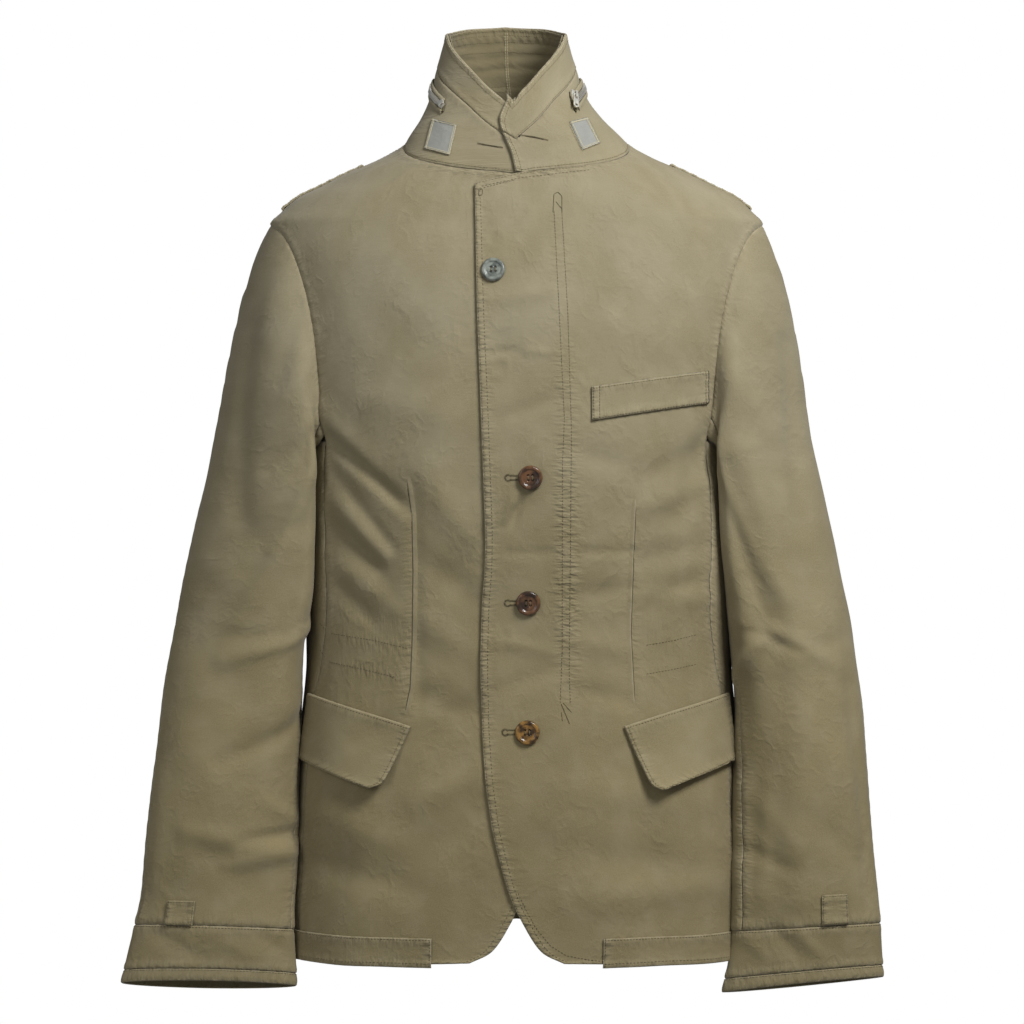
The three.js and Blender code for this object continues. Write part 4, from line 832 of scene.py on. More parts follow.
COTTON = cloth_material("brushed_cotton_twill", "#897c59", "#766a48", "#a39980")
# A darker copy of the cotton for the inside of the collar: painted shade, as that side lies in shade
COTTON_SHADED = cloth_material("cotton_twill_shaded_inner_face", "#70664a", "#5e553a", "#8a8064", fade=0.3)
COTTON_FLAT = cloth_material("cotton_twill_small_pieces", "#8b7f5d", "#796d4c", "#a69c82", 0.25, 0.12)
LOOP_TAPE = cloth_material("grey_loop_tape", "#8b8c86", "#777872", "#a2a29b", wrinkle=0.3, fade=0)
ZIP_CLOTH = cloth_material("zip_tape_cotton", "#4d4632", "#3c3626", "#655d46", wrinkle=0.04, fade=0)
THREAD = plain_material("cotton_thread", "#6f6548", 0.85)
THREAD_PALE = plain_material("cotton_thread_pale", "#bdb496", 0.85)
THREAD_DARK = plain_material("cotton_thread_dark", "#574d36", 0.85)
NICKEL = plain_material("worn_nickel", "#dedbd1", 0.42, metallic=0.8, period=1.5, bump=0.05)
HORN_DARK = plain_material("dark_brown_horn", "#38291f", 0.22, coat=0.5, second="#6b4a30", period=7)
HORN_AMBER = plain_material("amber_brown_horn", "#3b2a17", 0.22, coat=0.5, second="#8f6a34", period=6)
GREY_RESIN = plain_material("grey_green_resin", "#565b56", 0.3, coat=0.4, second="#83887f", period=6)


# Cloth pieces
def grid_piece(name, point, normal, relief, edges, seed, node, material, thickness=CLOTH, tube=False,
               pulls=None, laid=None):
    """A piece of cloth with its relief, its edges' own relief and its puckers, in its material."""
    total = relief + edge_relief(point, edges, seed)
    placed = point + normal * total[..., None]
    far = measure(point)
    pulls = pulls or {"pull_u": np.zeros(total.shape), "pull_v": np.zeros(total.shape)}
    for edge, kind in edges.items():
        key = "pull_u" if edge in ("low", "high") else "pull_v"
        *_, reach, pull = EDGES[kind]
        pulls[key] = np.maximum(pulls[key], pull * np.exp(-((far[edge] / reach) ** 2)))
    obj = shell(name, placed, normal, thickness, (seed * 137.0, seed * 61.0), tube, pulls, laid)
    return finish_piece(obj, node, material)


# Below the armhole the body's sides stand out to the sleeves, and the sleeves' inner sides lean to them:
# height, distance
SIDE_OUT = {
    "right": np.array([(-713, 4), (-520, 4), (-450, 3.5), (-400, 4), (-350, 2), (-300, 0)], float),
    "left": np.array([(-713, 5.5), (-520, 6.5), (-435, 8), (-380, 7), (-330, 3), (-290, 0)], float),
}
INNER_OUT = {
    "right": np.array([
        (-733, 1), (-690, 1.5), (-640, 5), (-500, 5), (-440, 3), (-400, 5), (-360, 3), (-300, 0),
    ], float),
    "left": np.array([(-733, 1), (-690, 2), (-640, 6), (-435, 7), (-380, 6), (-340, 4), (-300, 0)], float),
}
# Buttons: name, x, z, radius, finish, slot
BUTTONS = [
    ("button_grey", -20, -122, 10.2, GREY_RESIN, "grey_button"),
    ("button_horn_1", 11.4, -298, 10.4, HORN_DARK, "horn"),
    ("button_horn_2", 9.7, -404, 10.4, HORN_DARK, "horn"),
    ("button_horn_3", 8.9, -514, 10.4, HORN_AMBER, "horn"),
]
BUTTON_CALM = 13.0


def side_relief(x, z):
    out = np.where(x > 0, sample(SIDE_OUT["left"], 1, z), sample(SIDE_OUT["right"], 1, z))
    return out * smooth(110, 165, np.abs(x))


def body_relief(point):
    """Creases, waves and pressed rings of the body's cloth, calm round the buttons."""
    x, z = point[..., 0], point[..., 2]
    front = smooth(0, 30, -point[..., 1])
    back = smooth(0, 30, point[..., 1])
    total = (view_relief(point, BODY_CREASES) + snaps_relief(point)) * front
    total += view_relief(point, BACK_CREASES) * back
    around = np.degrees(np.arctan2(point[..., 1], x)) * 3.2
    total += 0.75 * uneven(around, z, 24, 1) + 0.2 * uneven(around, z, 9, 4)
    calm = np.ones_like(x)
    for _, bx, bz, *_ in BUTTONS:
        calm -= 0.85 * front * np.exp(-((np.hypot(x - bx, z - bz) / BUTTON_CALM) ** 2))
    return total * calm + side_relief(x, z)


LOW_T = np.linspace(0, 1, 150) ** 1.45
HIGH_T = np.linspace(1, 2, 126)[1:]
HOLD_REACH = 14.0
# Width that the columns are spread over and their step, for a front and a back
PANEL_COLUMNS = {-1: (225, 2.6), 1: (190, 4.0)}


def body_laid(point):
    """Pattern coordinates on the body that turn with it from the front or the back to the side."""
    x, y, z = point[..., 0], point[..., 1], point[..., 2]
    return x + np.clip(x / 60, -1, 1) * (120 - np.abs(y)), z - 0.5 * np.abs(y)


def held(point):
    """Share of the relief on a panel: none at the neck seam and the armhole, where other pieces join it."""
    far = measure(point)
    above = smooth(len(LOW_T) - 14, len(LOW_T), np.arange(point.shape[0]))[:, None]
    return smooth(0, HOLD_REACH, far["high"]) * mix(1, smooth(0, HOLD_REACH, far["end"]), above)


def panel(side, facing):
    """Grid of a front (facing -1) or a back (facing 1)."""
    t = np.concatenate([LOW_T, HIGH_T])
    u = spread(*PANEL_COLUMNS[facing])
    inner = front_inner(t) if facing < 0 else back_inner(t)
    outer = outer_boundary(t, facing)
    angle, z = (mix(a[:, None], b[:, None], u[None, :]) for a, b in zip(inner, outer))
    if facing < 0:
        return front_frame(side, world_angle(side, angle), z)
    return body_frame(world_angle(side, angle), z)


# Front, back and side panels
FRONT_EDGES = {"start": "front", "end": "seam", "low": "turned", "high": "flush"}
BACK_EDGES = {"start": "seam", "end": "seam", "low": "turned", "high": "flush"}
for side, seed in (("right", 1), ("left", 2)):
    point, normal = panel(side, -1)
    grid_piece(f"cloth_front_{side}", point, normal, body_relief(point) * held(point), FRONT_EDGES, seed,
               f"front_{side}", COTTON, pulls=front_pulls(point), laid=body_laid(point))
    point, normal = panel(side, 1)
    grid_piece(f"cloth_back_{side}", point, normal, body_relief(point) * held(point), BACK_EDGES, seed + 2,
               f"back_{side}", COTTON, laid=body_laid(point))
    share = spread(70, 3.4)
    rows = LOW_T[::2]
    angle = side_angle(share[None, :], rows[:, None])
    z = mix(HEM, underarm_height(share)[None, :], rows[:, None])
    point, normal = body_frame(world_angle(side, angle), z)
    kept = smooth(0, HOLD_REACH, measure(point)["high"])
    grid_piece(f"cloth_side_{side}", point, normal, body_relief(point) * kept, BACK_EDGES, seed + 4,
               f"side_{side}", COTTON, laid=body_laid(point))


SEAM_DEGREES = 0.2  # from a sleeve piece's edge to its seam
SLEEVE_MM_PER_DEGREE = 1.05


def sleeve_grid(side, which):
    """Grid of a sleeve's upper or under piece, with its pattern coordinates."""
    inner_top, inner_end, outer_top, outer_end = SLEEVE_SEAMS[side]
    along = np.concatenate([np.linspace(0, 1, 80)[:-1], np.linspace(1, 2, 130)])[:, None]
    inner = mix(inner_top, inner_end, along / 2)
    outer = mix(outer_top, outer_end, smooth(0, 2, along))
    if which == "upper":
        ends = (outer + SEAM_DEGREES, inner - SEAM_DEGREES)
    else:
        ends = (inner + SEAM_DEGREES, outer + 360 - SEAM_DEGREES)
    u = spread(200, 3.2)[None, :]
    degrees = mix(ends[0], ends[1], u)
    point, normal = sleeve_frame(side, degrees, np.broadcast_to(along, degrees.shape))
    return point, normal, (degrees * SLEEVE_MM_PER_DEGREE, point[..., 2])


def sleeve_relief(side, point, normal, seed):
    front = smooth(-0.1, 0.5, -normal[..., 1])
    fade = smooth(SHOULDER, SHOULDER - 60, point[..., 2])
    run = point[..., 0] + 1.3 * point[..., 1]
    total = view_relief(point, SLEEVE_CREASES[side]) * front
    hidden = uneven(run, point[..., 2] * 1.3, 30, seed + 9) * (1 - front) * 1.1
    inner = smooth(0.1, 0.8, -SIGN[side] * normal[..., 0]) * sample(INNER_OUT[side], 1, point[..., 2])
    return (total + hidden) * fade + 0.4 * uneven(run, point[..., 2], 26, seed) + inner


# Sleeves with their cuffs
SLEEVE_EDGES = {"start": "seam", "end": "seam", "low": "flush", "high": "seam"}
CUFF_EDGES = {"low": "seam", "high": "turned"}
# Name, upper and lower height, number of rows
CUFF_PARTS = (("cuff", CUFF_SEAM, CUFF_BAND, 22), ("cuff_band", CUFF_BAND, CUFF_EDGE, 9))
CUFF_COLUMNS = 180
SLEEVE_SEED = {"right": 11, "left": 12}
for side, seed in SLEEVE_SEED.items():
    for which in ("upper", "under"):
        point, normal, laid = sleeve_grid(side, which)
        relief = sleeve_relief(side, point, normal, seed) * smooth(0, HOLD_REACH, measure(point)["low"])
        grid_piece(f"cloth_sleeve_{which}_{side}", point, normal, relief, SLEEVE_EDGES,
                   seed + 10 * (which == "under"), f"sleeve_{which}_{side}", COTTON, laid=laid)
    degrees = np.linspace(0, 360, CUFF_COLUMNS, endpoint=False)[None, :]
    for name, top, bottom, count in CUFF_PARTS:
        z = np.linspace(top, bottom, count)[:, None]
        along = np.broadcast_to(2 + (CUFF_SEAM - z) / (CUFF_SEAM - CUFF_EDGE), (count, CUFF_COLUMNS))
        point, normal = sleeve_frame(side, np.broadcast_to(degrees, along.shape), along)
        relief = sleeve_relief(side, point, normal, seed) * 0.8
        grid_piece(f"cloth_{name}_{side}", point, normal, relief, CUFF_EDGES, seed + count, f"{name}_{side}",
                   COTTON, tube=True)


# Cuff tabs: ring angles of both sides, heights of both ends
TABS = {"right": (50, 73, -686, -663), "left": (54, 77, -683, -657)}
TAB_THICK = 1.2
for side, (start, end, low, high) in TABS.items():
    u, v = spread(26, 2.0)[None, :], spread(24, 2.0)[:, None]
    along = 1 + (ARM_TOP - mix(low, high, v)) / (ARM_TOP - CUFF_SEAM)
    degrees = mix(start, end, u)
    degrees, along = np.broadcast_arrays(degrees, along)
    point, normal = sleeve_frame(side, degrees, along, CLOTH + LAY_GAP)
    relief = sleeve_relief(side, point, normal, SLEEVE_SEED[side]) + 0.3
    grid_piece(f"cloth_cuff_tab_{side}", point, normal, relief, ALL_TURNED, 51, f"cuff_tab_{side}",
               COTTON_FLAT, TAB_THICK)


# Collar
def collar_grid(start, end, low, high, rows, out=0.0):
    """Grid round the collar from a start to an end angle, between two functions that give heights."""
    degrees = np.linspace(start, end, int(abs(end - start) / 1.4))[None, :]
    own = own_angle(degrees)
    v = np.linspace(0, 1, rows)[:, None]
    z = mix(low(own, degrees), high(own, degrees), v)
    degrees = degrees + sample(COLLAR_DRAW, 1, z) * smooth(-DRAW_FROM, -COLLAR_FROM, -degrees)
    return collar_frame(degrees, z, out)


def neck_foot(own, degrees):
    return sample(NECK_SEAM, 1, own) + NECK_START


def band_seam(own, degrees):
    return sample(BAND_SEAM, 1, own)


def collar_top(own, degrees):
    return sample(COLLAR_TOP, 1, own)


def inner_low(own, degrees):
    return neck_foot(own, degrees) + 6


def inner_high(own, degrees):
    return collar_top(own, degrees) - 1


def zip_low(own, degrees):
    return sample(ZIP_LINE, 1, degrees) - ZIP_WIDTH / 2


def zip_high(own, degrees):
    return sample(ZIP_LINE, 1, degrees) + ZIP_WIDTH / 2


def collar_relief(point, seed):
    run = np.degrees(np.arctan2(point[..., 1], point[..., 0])) * 1.3
    return 0.3 * uneven(run, point[..., 2], 20, seed)


COLLAR_EDGES = {
    "lower": {"low": "flush", "high": "flush", "start": "turned", "end": "turned"},
    "upper": {"low": "flush", "high": "turned", "start": "flush", "end": "flush"},
}
point, normal = collar_grid(COLLAR_FROM, COLLAR_TO, neck_foot, band_seam, 24)
grid_piece("cloth_collar_lower", point, normal, collar_relief(point, 3), COLLAR_EDGES["lower"], 61,
           "collar_lower", COTTON)
point, normal = collar_grid(COLLAR_FROM, COLLAR_TO, band_seam, collar_top, 30)
grid_piece("cloth_collar_upper", point, normal, collar_relief(point, 4), COLLAR_EDGES["upper"], 62,
           "collar_upper", COTTON)
# The inner collar lies inside the outer one; a puckered channel and soft quilted rolls run round it
INNER_FROM, INNER_TO, INNER_SET, INNER_THICK = -72, 252, -3.0, 1.2
point, normal = collar_grid(INNER_FROM, INNER_TO, inner_low, inner_high, 56, INNER_SET)
from_top = measure(point)["high"]
run = measure(point)["start"]
ripple = np.sin(2 * np.pi * run / 8.5 + uneven(run, run, 15, 2))
channel = np.exp(-(((from_top - 9) / 2.6) ** 2)) * (0.3 + 0.6 * ripple)
inner_relief = collar_relief(point, 5) * 0.6 - channel * 0.7
for depth, share in ((13.0, 1.3), (24.0, 1.5), (37.0, 1.1), (49.0, 1.0)):
    wavy = depth + 2.6 * uneven(run, depth + 0 * run, 17, int(depth))
    strength = share * (0.65 + 0.45 * uneven(run, run * 0.2, 26, int(depth) + 1))
    inner_relief += strength * np.exp(-(((from_top - wavy) / 2.2) ** 2))
    inner_relief -= 0.7 * strength * np.exp(-(((from_top - wavy - 5.5) / 3.0) ** 2))
# The inner collar takes the darker copy of the cotton, which is painted shade
grid_piece("cloth_collar_inner", point, normal, inner_relief, {"high": "turned"}, 63, "collar_inner",
           COTTON_SHADED, INNER_THICK)

# The zip's tape
point, normal = collar_grid(ZIP_LINE[0, 0], ZIP_LINE[-1, 0], zip_low, zip_high, 9, ON_ZIP - ZIP_THICK / 2)
grid_piece("cloth_zip_tape", point, normal, np.zeros(point.shape[:2]), {}, 64, "zip_tape", ZIP_CLOTH,
           ZIP_THICK)


def corner_grid(corners, u, v):
    """x and z over a piece from its low, then its high corners."""
    return (mix(mix(a, b, u), mix(c, d, u), v) for a, b, c, d in zip(*corners))


# Square patches of loop tape on the collar: low inner, low outer, high inner and high outer corner
PATCHES = {
    "right": ((57.5, -21), (79, -14), (51.5, 6), (72, 12.5)),
    "left": ((56, -16.5), (71.5, -9.5), (44.5, 8), (60.5, 13.5)),
}
PATCH_THICK = 1.2
for side, corners in PATCHES.items():
    x, z = corner_grid(corners, spread(20, 1.4, 0.8)[None, :], spread(27, 1.4, 0.8)[:, None])
    point, normal = collar_frame(collar_angle(side, x, z), z, ON_CLOTH + PATCH_THICK / 2)
    grid_piece(f"cloth_patch_{side}", point, normal, 0.12 * uneven(x * 4, z * 4, 9, 7), {}, 65,
               f"collar_patch_{side}", LOOP_TAPE, PATCH_THICK)


# Pieces that lie on the body
def lying(node, point, normal, seed, material, thickness, edges):
    grid_piece(f"cloth_{node}", point, normal, body_relief(point), edges, seed, node, material, thickness)


STRAP_TOP, STRAP_END, STRAP_FROM, STRAP_WIDTH, STRAP_THICK = -24.0, -63.0, 1.5, 36.0, 1.8


def epaulette(side):
    u, v = spread(90, 2.4)[None, :], spread(36, 2.4)[:, None]
    z, y = np.broadcast_arrays(mix(STRAP_TOP, STRAP_END, u), mix(STRAP_FROM, STRAP_FROM + STRAP_WIDTH, v))
    bend = sample(BODY, 4, z)
    x = sample(BODY, 1, z) * (1 - (y / sample(BODY, 3, z)) ** bend) ** (1 / bend)
    point, normal = body_frame(world_angle(side, np.degrees(np.arctan2(y, x))), z)
    point = point + normal * (ON_CLOTH + STRAP_THICK / 2)
    lying(f"epaulette_{side}", point, normal, 71, COTTON_FLAT, STRAP_THICK, ALL_TURNED)


# x and z of a flap's corners: top and low at its front end, top and low at its rear end
FLAP_TOP, FLAP_TIP, FLAP_REAR_TOP, FLAP_REAR_TIP = (90, -509), (112, -563), (174, -484), (182, -541)
FLAP_THICK, FLAP_CORNER, FLAP_OFF, FLAP_CLEAR, FLAP_LIFT = 2.2, 9.0, 6.0, 0.7, 2.5
FLAP_EDGES = {"start": "turned", "end": "turned", "low": "seam", "high": "turned"}


def flap(side):
    """A pocket flap with one round corner, which stands off the body towards its low edge."""
    u, v = spread(80, 2.2)[None, :], spread(58, 2.2)[:, None]
    left = (1 - v) * math.dist(FLAP_TOP, FLAP_TIP)
    inside = np.maximum(FLAP_CORNER - left, 0)
    round_off = FLAP_CORNER - np.sqrt(FLAP_CORNER ** 2 - inside ** 2)
    x, z = (mix(mix(a, b, v) + cut, mix(c, d, v), u) for a, b, c, d, cut
            in zip(FLAP_TOP, FLAP_TIP, FLAP_REAR_TOP, FLAP_REAR_TIP, (round_off, 0)))
    point, normal = body_frame(world_angle(side, body_angle(x, z, -1)), z)
    out = ON_CLOTH + FLAP_CLEAR + FLAP_THICK / 2 + FLAP_OFF * v * v * (1 - 0.7 * u)
    out = out + FLAP_LIFT * smooth(0.3, 1, v) * smooth(0.5, 0, u)
    point = point + normal * out[..., None]
    lying(f"flap_{side}", point, normal, 72, COTTON_FLAT, FLAP_THICK, FLAP_EDGES)


BAND_START, BAND_HEIGHT, BAND_THICK, BAND_CLEAR = 72.0, 25.0, 1.2, 0.3


def hem_band(side):
    """The band round the hem, from the front to the middle of the back."""
    start = float(body_angle(BAND_START, HEM, -1))
    u, v = spread(330, 3.0)[None, :], spread(25, 2.4)[:, None]
    angle = mix(start, 90 - GAP_DEGREES, u)
    behind = float(outer_boundary(0, 1)[0])
    hem = mix(HEM, BACK_HEM, np.clip((angle - behind) / (90 - behind), 0, 1))
    angle, z = np.broadcast_arrays(angle, hem + BAND_HEIGHT * v)
    point, normal = body_frame(world_angle(side, angle), z)
    point = point + normal * (ON_CLOTH + BAND_CLEAR + BAND_THICK / 2)
    lying(f"hem_band_{side}", point, normal, 73, COTTON, BAND_THICK, ALL_TURNED)


# Corners in the same order as the patches' corners
WELT_CORNERS = ((63, -250), (163, -234), (63, -221), (163, -206))
WELT_THICK = 1.8


def chest_welt():
    x, z = corner_grid(WELT_CORNERS, spread(104, 2.2)[None, :], spread(29, 2.0)[:, None])
    point, normal = front_frame("left", body_angle(x, z, -1), z, ON_CLOTH + WELT_THICK / 2)
    lying("chest_welt", point, normal, 74, COTTON_FLAT, WELT_THICK, ALL_TURNED)


for side in SIGN:
    epaulette(side)
    flap(side)
    hem_band(side)
chest_welt()


# Places on the outer faces of the cloth, found by a ray from the camera's side
def tree_of(*names):
    vertices, faces = [], []
    for name in names:
        mesh = COLLECTED[name]["object"].data
        base = len(vertices)
        vertices += [v.co / MM for v in mesh.vertices]
        faces += [[base + k for k in p.vertices] for p in mesh.polygons]
    return BVHTree.FromPolygons(vertices, faces)


FROM_FRONT = -400.0


def drop(tree, x, z, out=0.0):
    """Points on a tree's cloth in front of x and z, moved out by a distance, and the cloth's normals."""
    points, normals = [], []
    for px, pz in zip(np.atleast_1d(x), np.atleast_1d(z)):
        hit, normal, _, _ = tree.ray_cast(Vector((px, FROM_FRONT, pz)), Vector((0, 1, 0)))
        if hit is None:
            continue
        if normal.y > 0:
            normal = -normal
        points.append(np.array(hit + normal * out))
        normals.append(np.array(normal))
    return np.array(points), np.array(normals)


def resample(line, step):
    """Points along a line at about a step from each other."""
    line = np.asarray(line, float)
    far = length_along(line)
    return along_line(np.linspace(0, far[-1], max(int(round(far[-1] / step)), 1) + 1), far, line)


def seen_line(pairs):
    return np.array([seen(c, r) for c, r in pairs])


# Stitches are collected as places, directions and normals, by thread
STITCHES = {}


def sew(line, normals, thread="plain", pitch=3.0):
    """A row of stitches along points on the cloth."""
    line = np.asarray(line, float)
    if len(line) < 2:
        return
    far = length_along(line)
    at = np.arange(pitch / 2, far[-1], pitch)
    way = unit(along_line(at + 0.5, far, line) - along_line(at - 0.5, far, line))
    out = unit(along_line(at, far, normals))
    STITCHES.setdefault(thread, []).append((along_line(at, far, line), way, out))


THREAD_RISE = 0.12


def sew_seen(tree, pairs, thread="plain", pitch=3.0):
    line = resample(seen_line(pairs), 2.0)
    points, normals = drop(tree, line[:, 0], line[:, 1], THREAD_RISE)
    sew(points, normals, thread, pitch)


def sew_edge(name, edge, away, thread="plain", pitch=3.0, rise=THREAD_RISE, span=(0, 1), face=1):
    """A row of stitches on a piece's outer or, with -1, inner face at a distance from an edge."""
    grid = COLLECTED[name]
    outer, normal, far = grid["outer"], grid["normal"], grid["far"][edge]
    if edge in ("low", "high"):
        outer, normal, far = outer.transpose(1, 0, 2), normal.transpose(1, 0, 2), far.T
    if edge in ("end", "high"):
        outer, normal, far = outer[:, ::-1], normal[:, ::-1], far[:, ::-1]
    first, last = int(span[0] * (len(outer) - 1)), int(span[1] * (len(outer) - 1)) + 1
    line = np.array([along_line(away, far[row], outer[row]) for row in range(first, last)])
    out = face * unit(np.array([along_line(away, far[row], normal[row]) for row in range(first, last)]))
    sew(line + out * rise, out, thread, pitch)


FRONT_TREE = tree_of("cloth_front_left")
FRONTS_TREE = tree_of("cloth_front_left", "cloth_front_right", "cloth_side_left", "cloth_side_right")

# Front edge and its corner, the placket, its tacks
sew_edge("cloth_front_left", "start", 6.5, "dark", 3.2, span=(0, 0.9))
sew_edge("cloth_front_left", "start", 1.7, "plain", 2.8, span=(0, 0.9))
sew_edge("cloth_front_right", "start", 6.5, "plain", 3.2, span=(0, 0.4))
PLACKET = [
    [(554, 209), (559, 314), (564, 419), (562, 467), (562, 555), (562, 650), (560, 702)],
    [(562, 212), (567.5, 314), (571, 429), (570, 555), (569, 670), (570, 702)],
]
for line in PLACKET:
    sew_seen(FRONT_TREE, line, "dark", 2.8)
sew_seen(FRONT_TREE, [(474, 188), (515, 177)], "dark", 2.8)
TACKS = [
    [(554, 192), (553, 210)], [(554, 192), (558, 190), (562, 194), (562, 212)], [(556, 200), (561, 206)],
    [(561, 704), (569, 723)], [(563, 703), (571, 712)], [(561, 712), (562, 720)],
    [(478, 188), (482, 187), (482, 193), (478, 194), (478, 188)],
]
for tack in TACKS:
    sew_seen(FRONT_TREE, tack, "dark", 1.5)

# Waist casings and their tacks
CASINGS = [
    [(328, 635), (372, 641), (408, 649)], [(326, 664), (360, 670), (395, 678)],
    [(698, 636), (672, 642), (646, 646)], [(698, 666), (672, 671), (646, 675)],
    [(388, 676), (396, 681)], [(316, 625), (322, 631)], [(316, 652), (322, 660)],
]
for line in CASINGS:
    sew_seen(FRONTS_TREE, line, "dark", 2.8)

# Facing stitches along the curved hem
HEM_CURVE = [(604, 961), (585, 958), (566, 954), (550, 944), (536, 927), (526, 909), (517, 890)]
sew_seen(FRONTS_TREE, HEM_CURVE, "dark", 3.0)
# Hem bands, flaps, cuff tabs, shoulder straps, cuffs and neck seam, then the welt
for side in SIGN:
    sew_edge(f"cloth_hem_band_{side}", "high", 1.6, "dark", 2.8)
    sew_edge(f"cloth_hem_band_{side}", "low", 4.0, "plain", 3.2)
    sew_edge(f"cloth_hem_band_{side}", "start", 1.6, "dark", 2.6)
    for edge, away in (("start", 3.0), ("high", 3.0), ("low", 2.4)):
        sew_edge(f"cloth_flap_{side}", edge, away, "dark" if edge == "low" else "plain", 2.8)
    for edge in ALL_EDGES:
        sew_edge(f"cloth_cuff_tab_{side}", edge, 1.4, "plain", 2.4)
        sew_edge(f"cloth_epaulette_{side}", edge, 3.0, "pale", 2.6)
    sew_edge(f"cloth_cuff_{side}", "low", 1.8, "dark", 2.8)
    sew_edge(f"cloth_cuff_band_{side}", "low", 1.4, "plain", 2.8)
    sew_edge(f"cloth_front_{side}", "high", 3.0, "plain", 3.0)
for edge, away in (("start", 1.6), ("start", 7.0), ("end", 1.6), ("end", 4.5), ("low", 1.6), ("high", 2.0)):
    sew_edge("cloth_chest_welt", edge, away, "dark", 2.6)

# Collar: both edges, the band's seam, the neck seam, and the rows of the inner collar
for name in ("cloth_collar_lower", "cloth_collar_upper"):
    for edge in ("start", "end"):
        sew_edge(name, edge, 2.0, "pale", 2.4)
        sew_edge(name, edge, 6.0, "plain", 2.6)
sew_edge("cloth_collar_upper", "high", 2.0, "pale", 2.4)
sew_edge("cloth_collar_upper", "high", 6.5, "plain", 2.6)
sew_edge("cloth_collar_upper", "low", 1.6, "plain", 2.6)
sew_edge("cloth_collar_lower", "low", 2.4, "plain", 2.6)
for away in (2.4, 6.0, 12.0, 21.0, 52.0, 57.0):
    sew_edge("cloth_collar_inner", "high", away, "plain", 2.6, INNER_THICK + THREAD_RISE, face=-1)
for degrees in (88.2, 90.2):
    z = np.linspace(24, 103, 50)
    inside = INNER_SET - INNER_THICK / 2 - THREAD_RISE - 0.3
    point, normal = collar_frame(np.full(50, degrees), z, inside)
    sew(point, -normal, "pale", 2.4)
for side in PATCHES:
    name = f"cloth_patch_{side}"
    for edge in ALL_EDGES:
        sew_edge(name, edge, 1.6, "pale", 1.3)


# Folds of cloth along darts, laid on the panels as low steps with a sharp edge
SEAM_SHADE = plain_material("shaded_seam_groove", "#4c4430", 0.95)
FOLD_PROFILE = [(-4.5, -0.25), (-3.0, 0.18), (-1.3, 0.5), (-0.5, 0.55), (0.0, 0.35), (0.3, -0.3)]
GROOVE_PROFILE = [(-0.3, -0.05), (0.25, 0.12), (0.95, -0.05)]


def strips(name, tree, lines, profile, material):
    """Narrow strips of cloth on the panels: each line with the side its fold lies to."""
    vertices, faces, uv, edge = [], [], [], []
    for pairs, lies in lines:
        line = resample(seen_line(pairs), 2.0)
        way = unit(np.gradient(line, axis=0))
        across = np.stack([way[:, 1], -way[:, 0]], -1) * lies
        taper = np.minimum(1, np.minimum(np.arange(len(line)), np.arange(len(line))[::-1]) / 8)
        base = len(vertices)
        for k, (x, z) in enumerate(line):
            for w, h in profile:
                px, pz = x + across[k, 0] * w, z + across[k, 1] * w
                spot, normal = drop(tree, px, pz)
                if len(spot):
                    vertices.append(spot[0] + normal[0] * (h * taper[k] - 0.1 * (1 - taper[k])))
                else:
                    vertices.append(vertices[-1])
                uv.append((px + 40 * lies, pz))
                edge.append(abs(w) if w <= 0 else 0)
        cols = len(profile)
        for k in range(len(line) - 1):
            for c in range(cols - 1):
                a = base + k * cols + c
                faces.append((a, a + 1, a + cols + 1, a + cols))
    obj = mesh_object(name, np.array(vertices), faces, np.array(uv, float), np.array(edge, float))
    return finish_piece(obj, None, material)


DARTS = [
    ([(406, 473), (412, 516), (413, 573), (412, 640), (410, 688), (404, 717)], 1),
    ([(636, 498), (633.5, 555), (631, 631), (635, 708)], -1),
]
strips("sewn_darts", FRONTS_TREE, DARTS, FOLD_PROFILE, COTTON)
strips("dart_grooves", FRONTS_TREE, DARTS, GROOVE_PROFILE, SEAM_SHADE)


# Buttons
BUTTON_THICK = 3.2
HOLE_OUT, HOLE_RADIUS = 1.9, 0.95


def button_seat(x, z):
    angle = world_angle("right", body_angle(-x, z, -1)) if x < 0 else body_angle(x, z, -1)
    point, normal = front_frame("left", angle, z, ON_CLOTH)
    across = unit(np.array([1.0, 0, 0]) - normal * normal[0])
    return point, normal, across, np.cross(normal, across)


def button(name, x, z, radius, material, slot):
    """A turned button: raised rim, dished middle, four holes."""
    point, normal, across, up = button_seat(x, z)
    rings = np.concatenate([np.linspace(0, 4.2, 20), np.linspace(4.6, radius, 18)])
    turns = np.radians(np.arange(0, 360, 7.5))
    vertices, faces = [], []
    for r in rings:
        dish = 0.9 * smooth(radius - 2.6, radius - 4.0, r)
        face = BUTTON_THICK - dish - 1.5 * smooth(radius - 1.5, radius, r) ** 2
        for turn in turns:
            a, b = r * math.cos(turn), r * math.sin(turn)
            gap = math.hypot(abs(a) - HOLE_OUT, abs(b) - HOLE_OUT)
            dip = 1.9 * (1 - float(smooth(HOLE_RADIUS - 0.25, HOLE_RADIUS + 0.2, gap)))
            vertices.append(point + across * a + up * b + normal * (face - dip))
    for h, r in ((0.9, radius), (0.2, radius - 0.7), (0.0, radius - 2.0), (0.0, 0.01)):
        vertices += [point + across * r * math.cos(t) + up * r * math.sin(t) + normal * h for t in turns]
    count = len(turns)
    for k in range(len(rings) + 3):
        for c in range(count):
            n = (c + 1) % count
            faces.append((k * count + c, (k + 1) * count + c, (k + 1) * count + n, k * count + n))
    obj = mesh_object(f"turned_{name}", np.array(vertices), faces)
    finish_piece(obj, name, material)
    for a in (-HOLE_OUT, HOLE_OUT):
        line = np.array([point + across * (a + s * 0.01) + up * s + normal * (BUTTON_THICK - 0.75)
                         for s in (-2.4, 0, 2.4)])
        sew(line, np.stack([normal] * 3), "button", 4.7)


for entry in BUTTONS:
    button(*entry)


WHIP_PITCH = 0.8


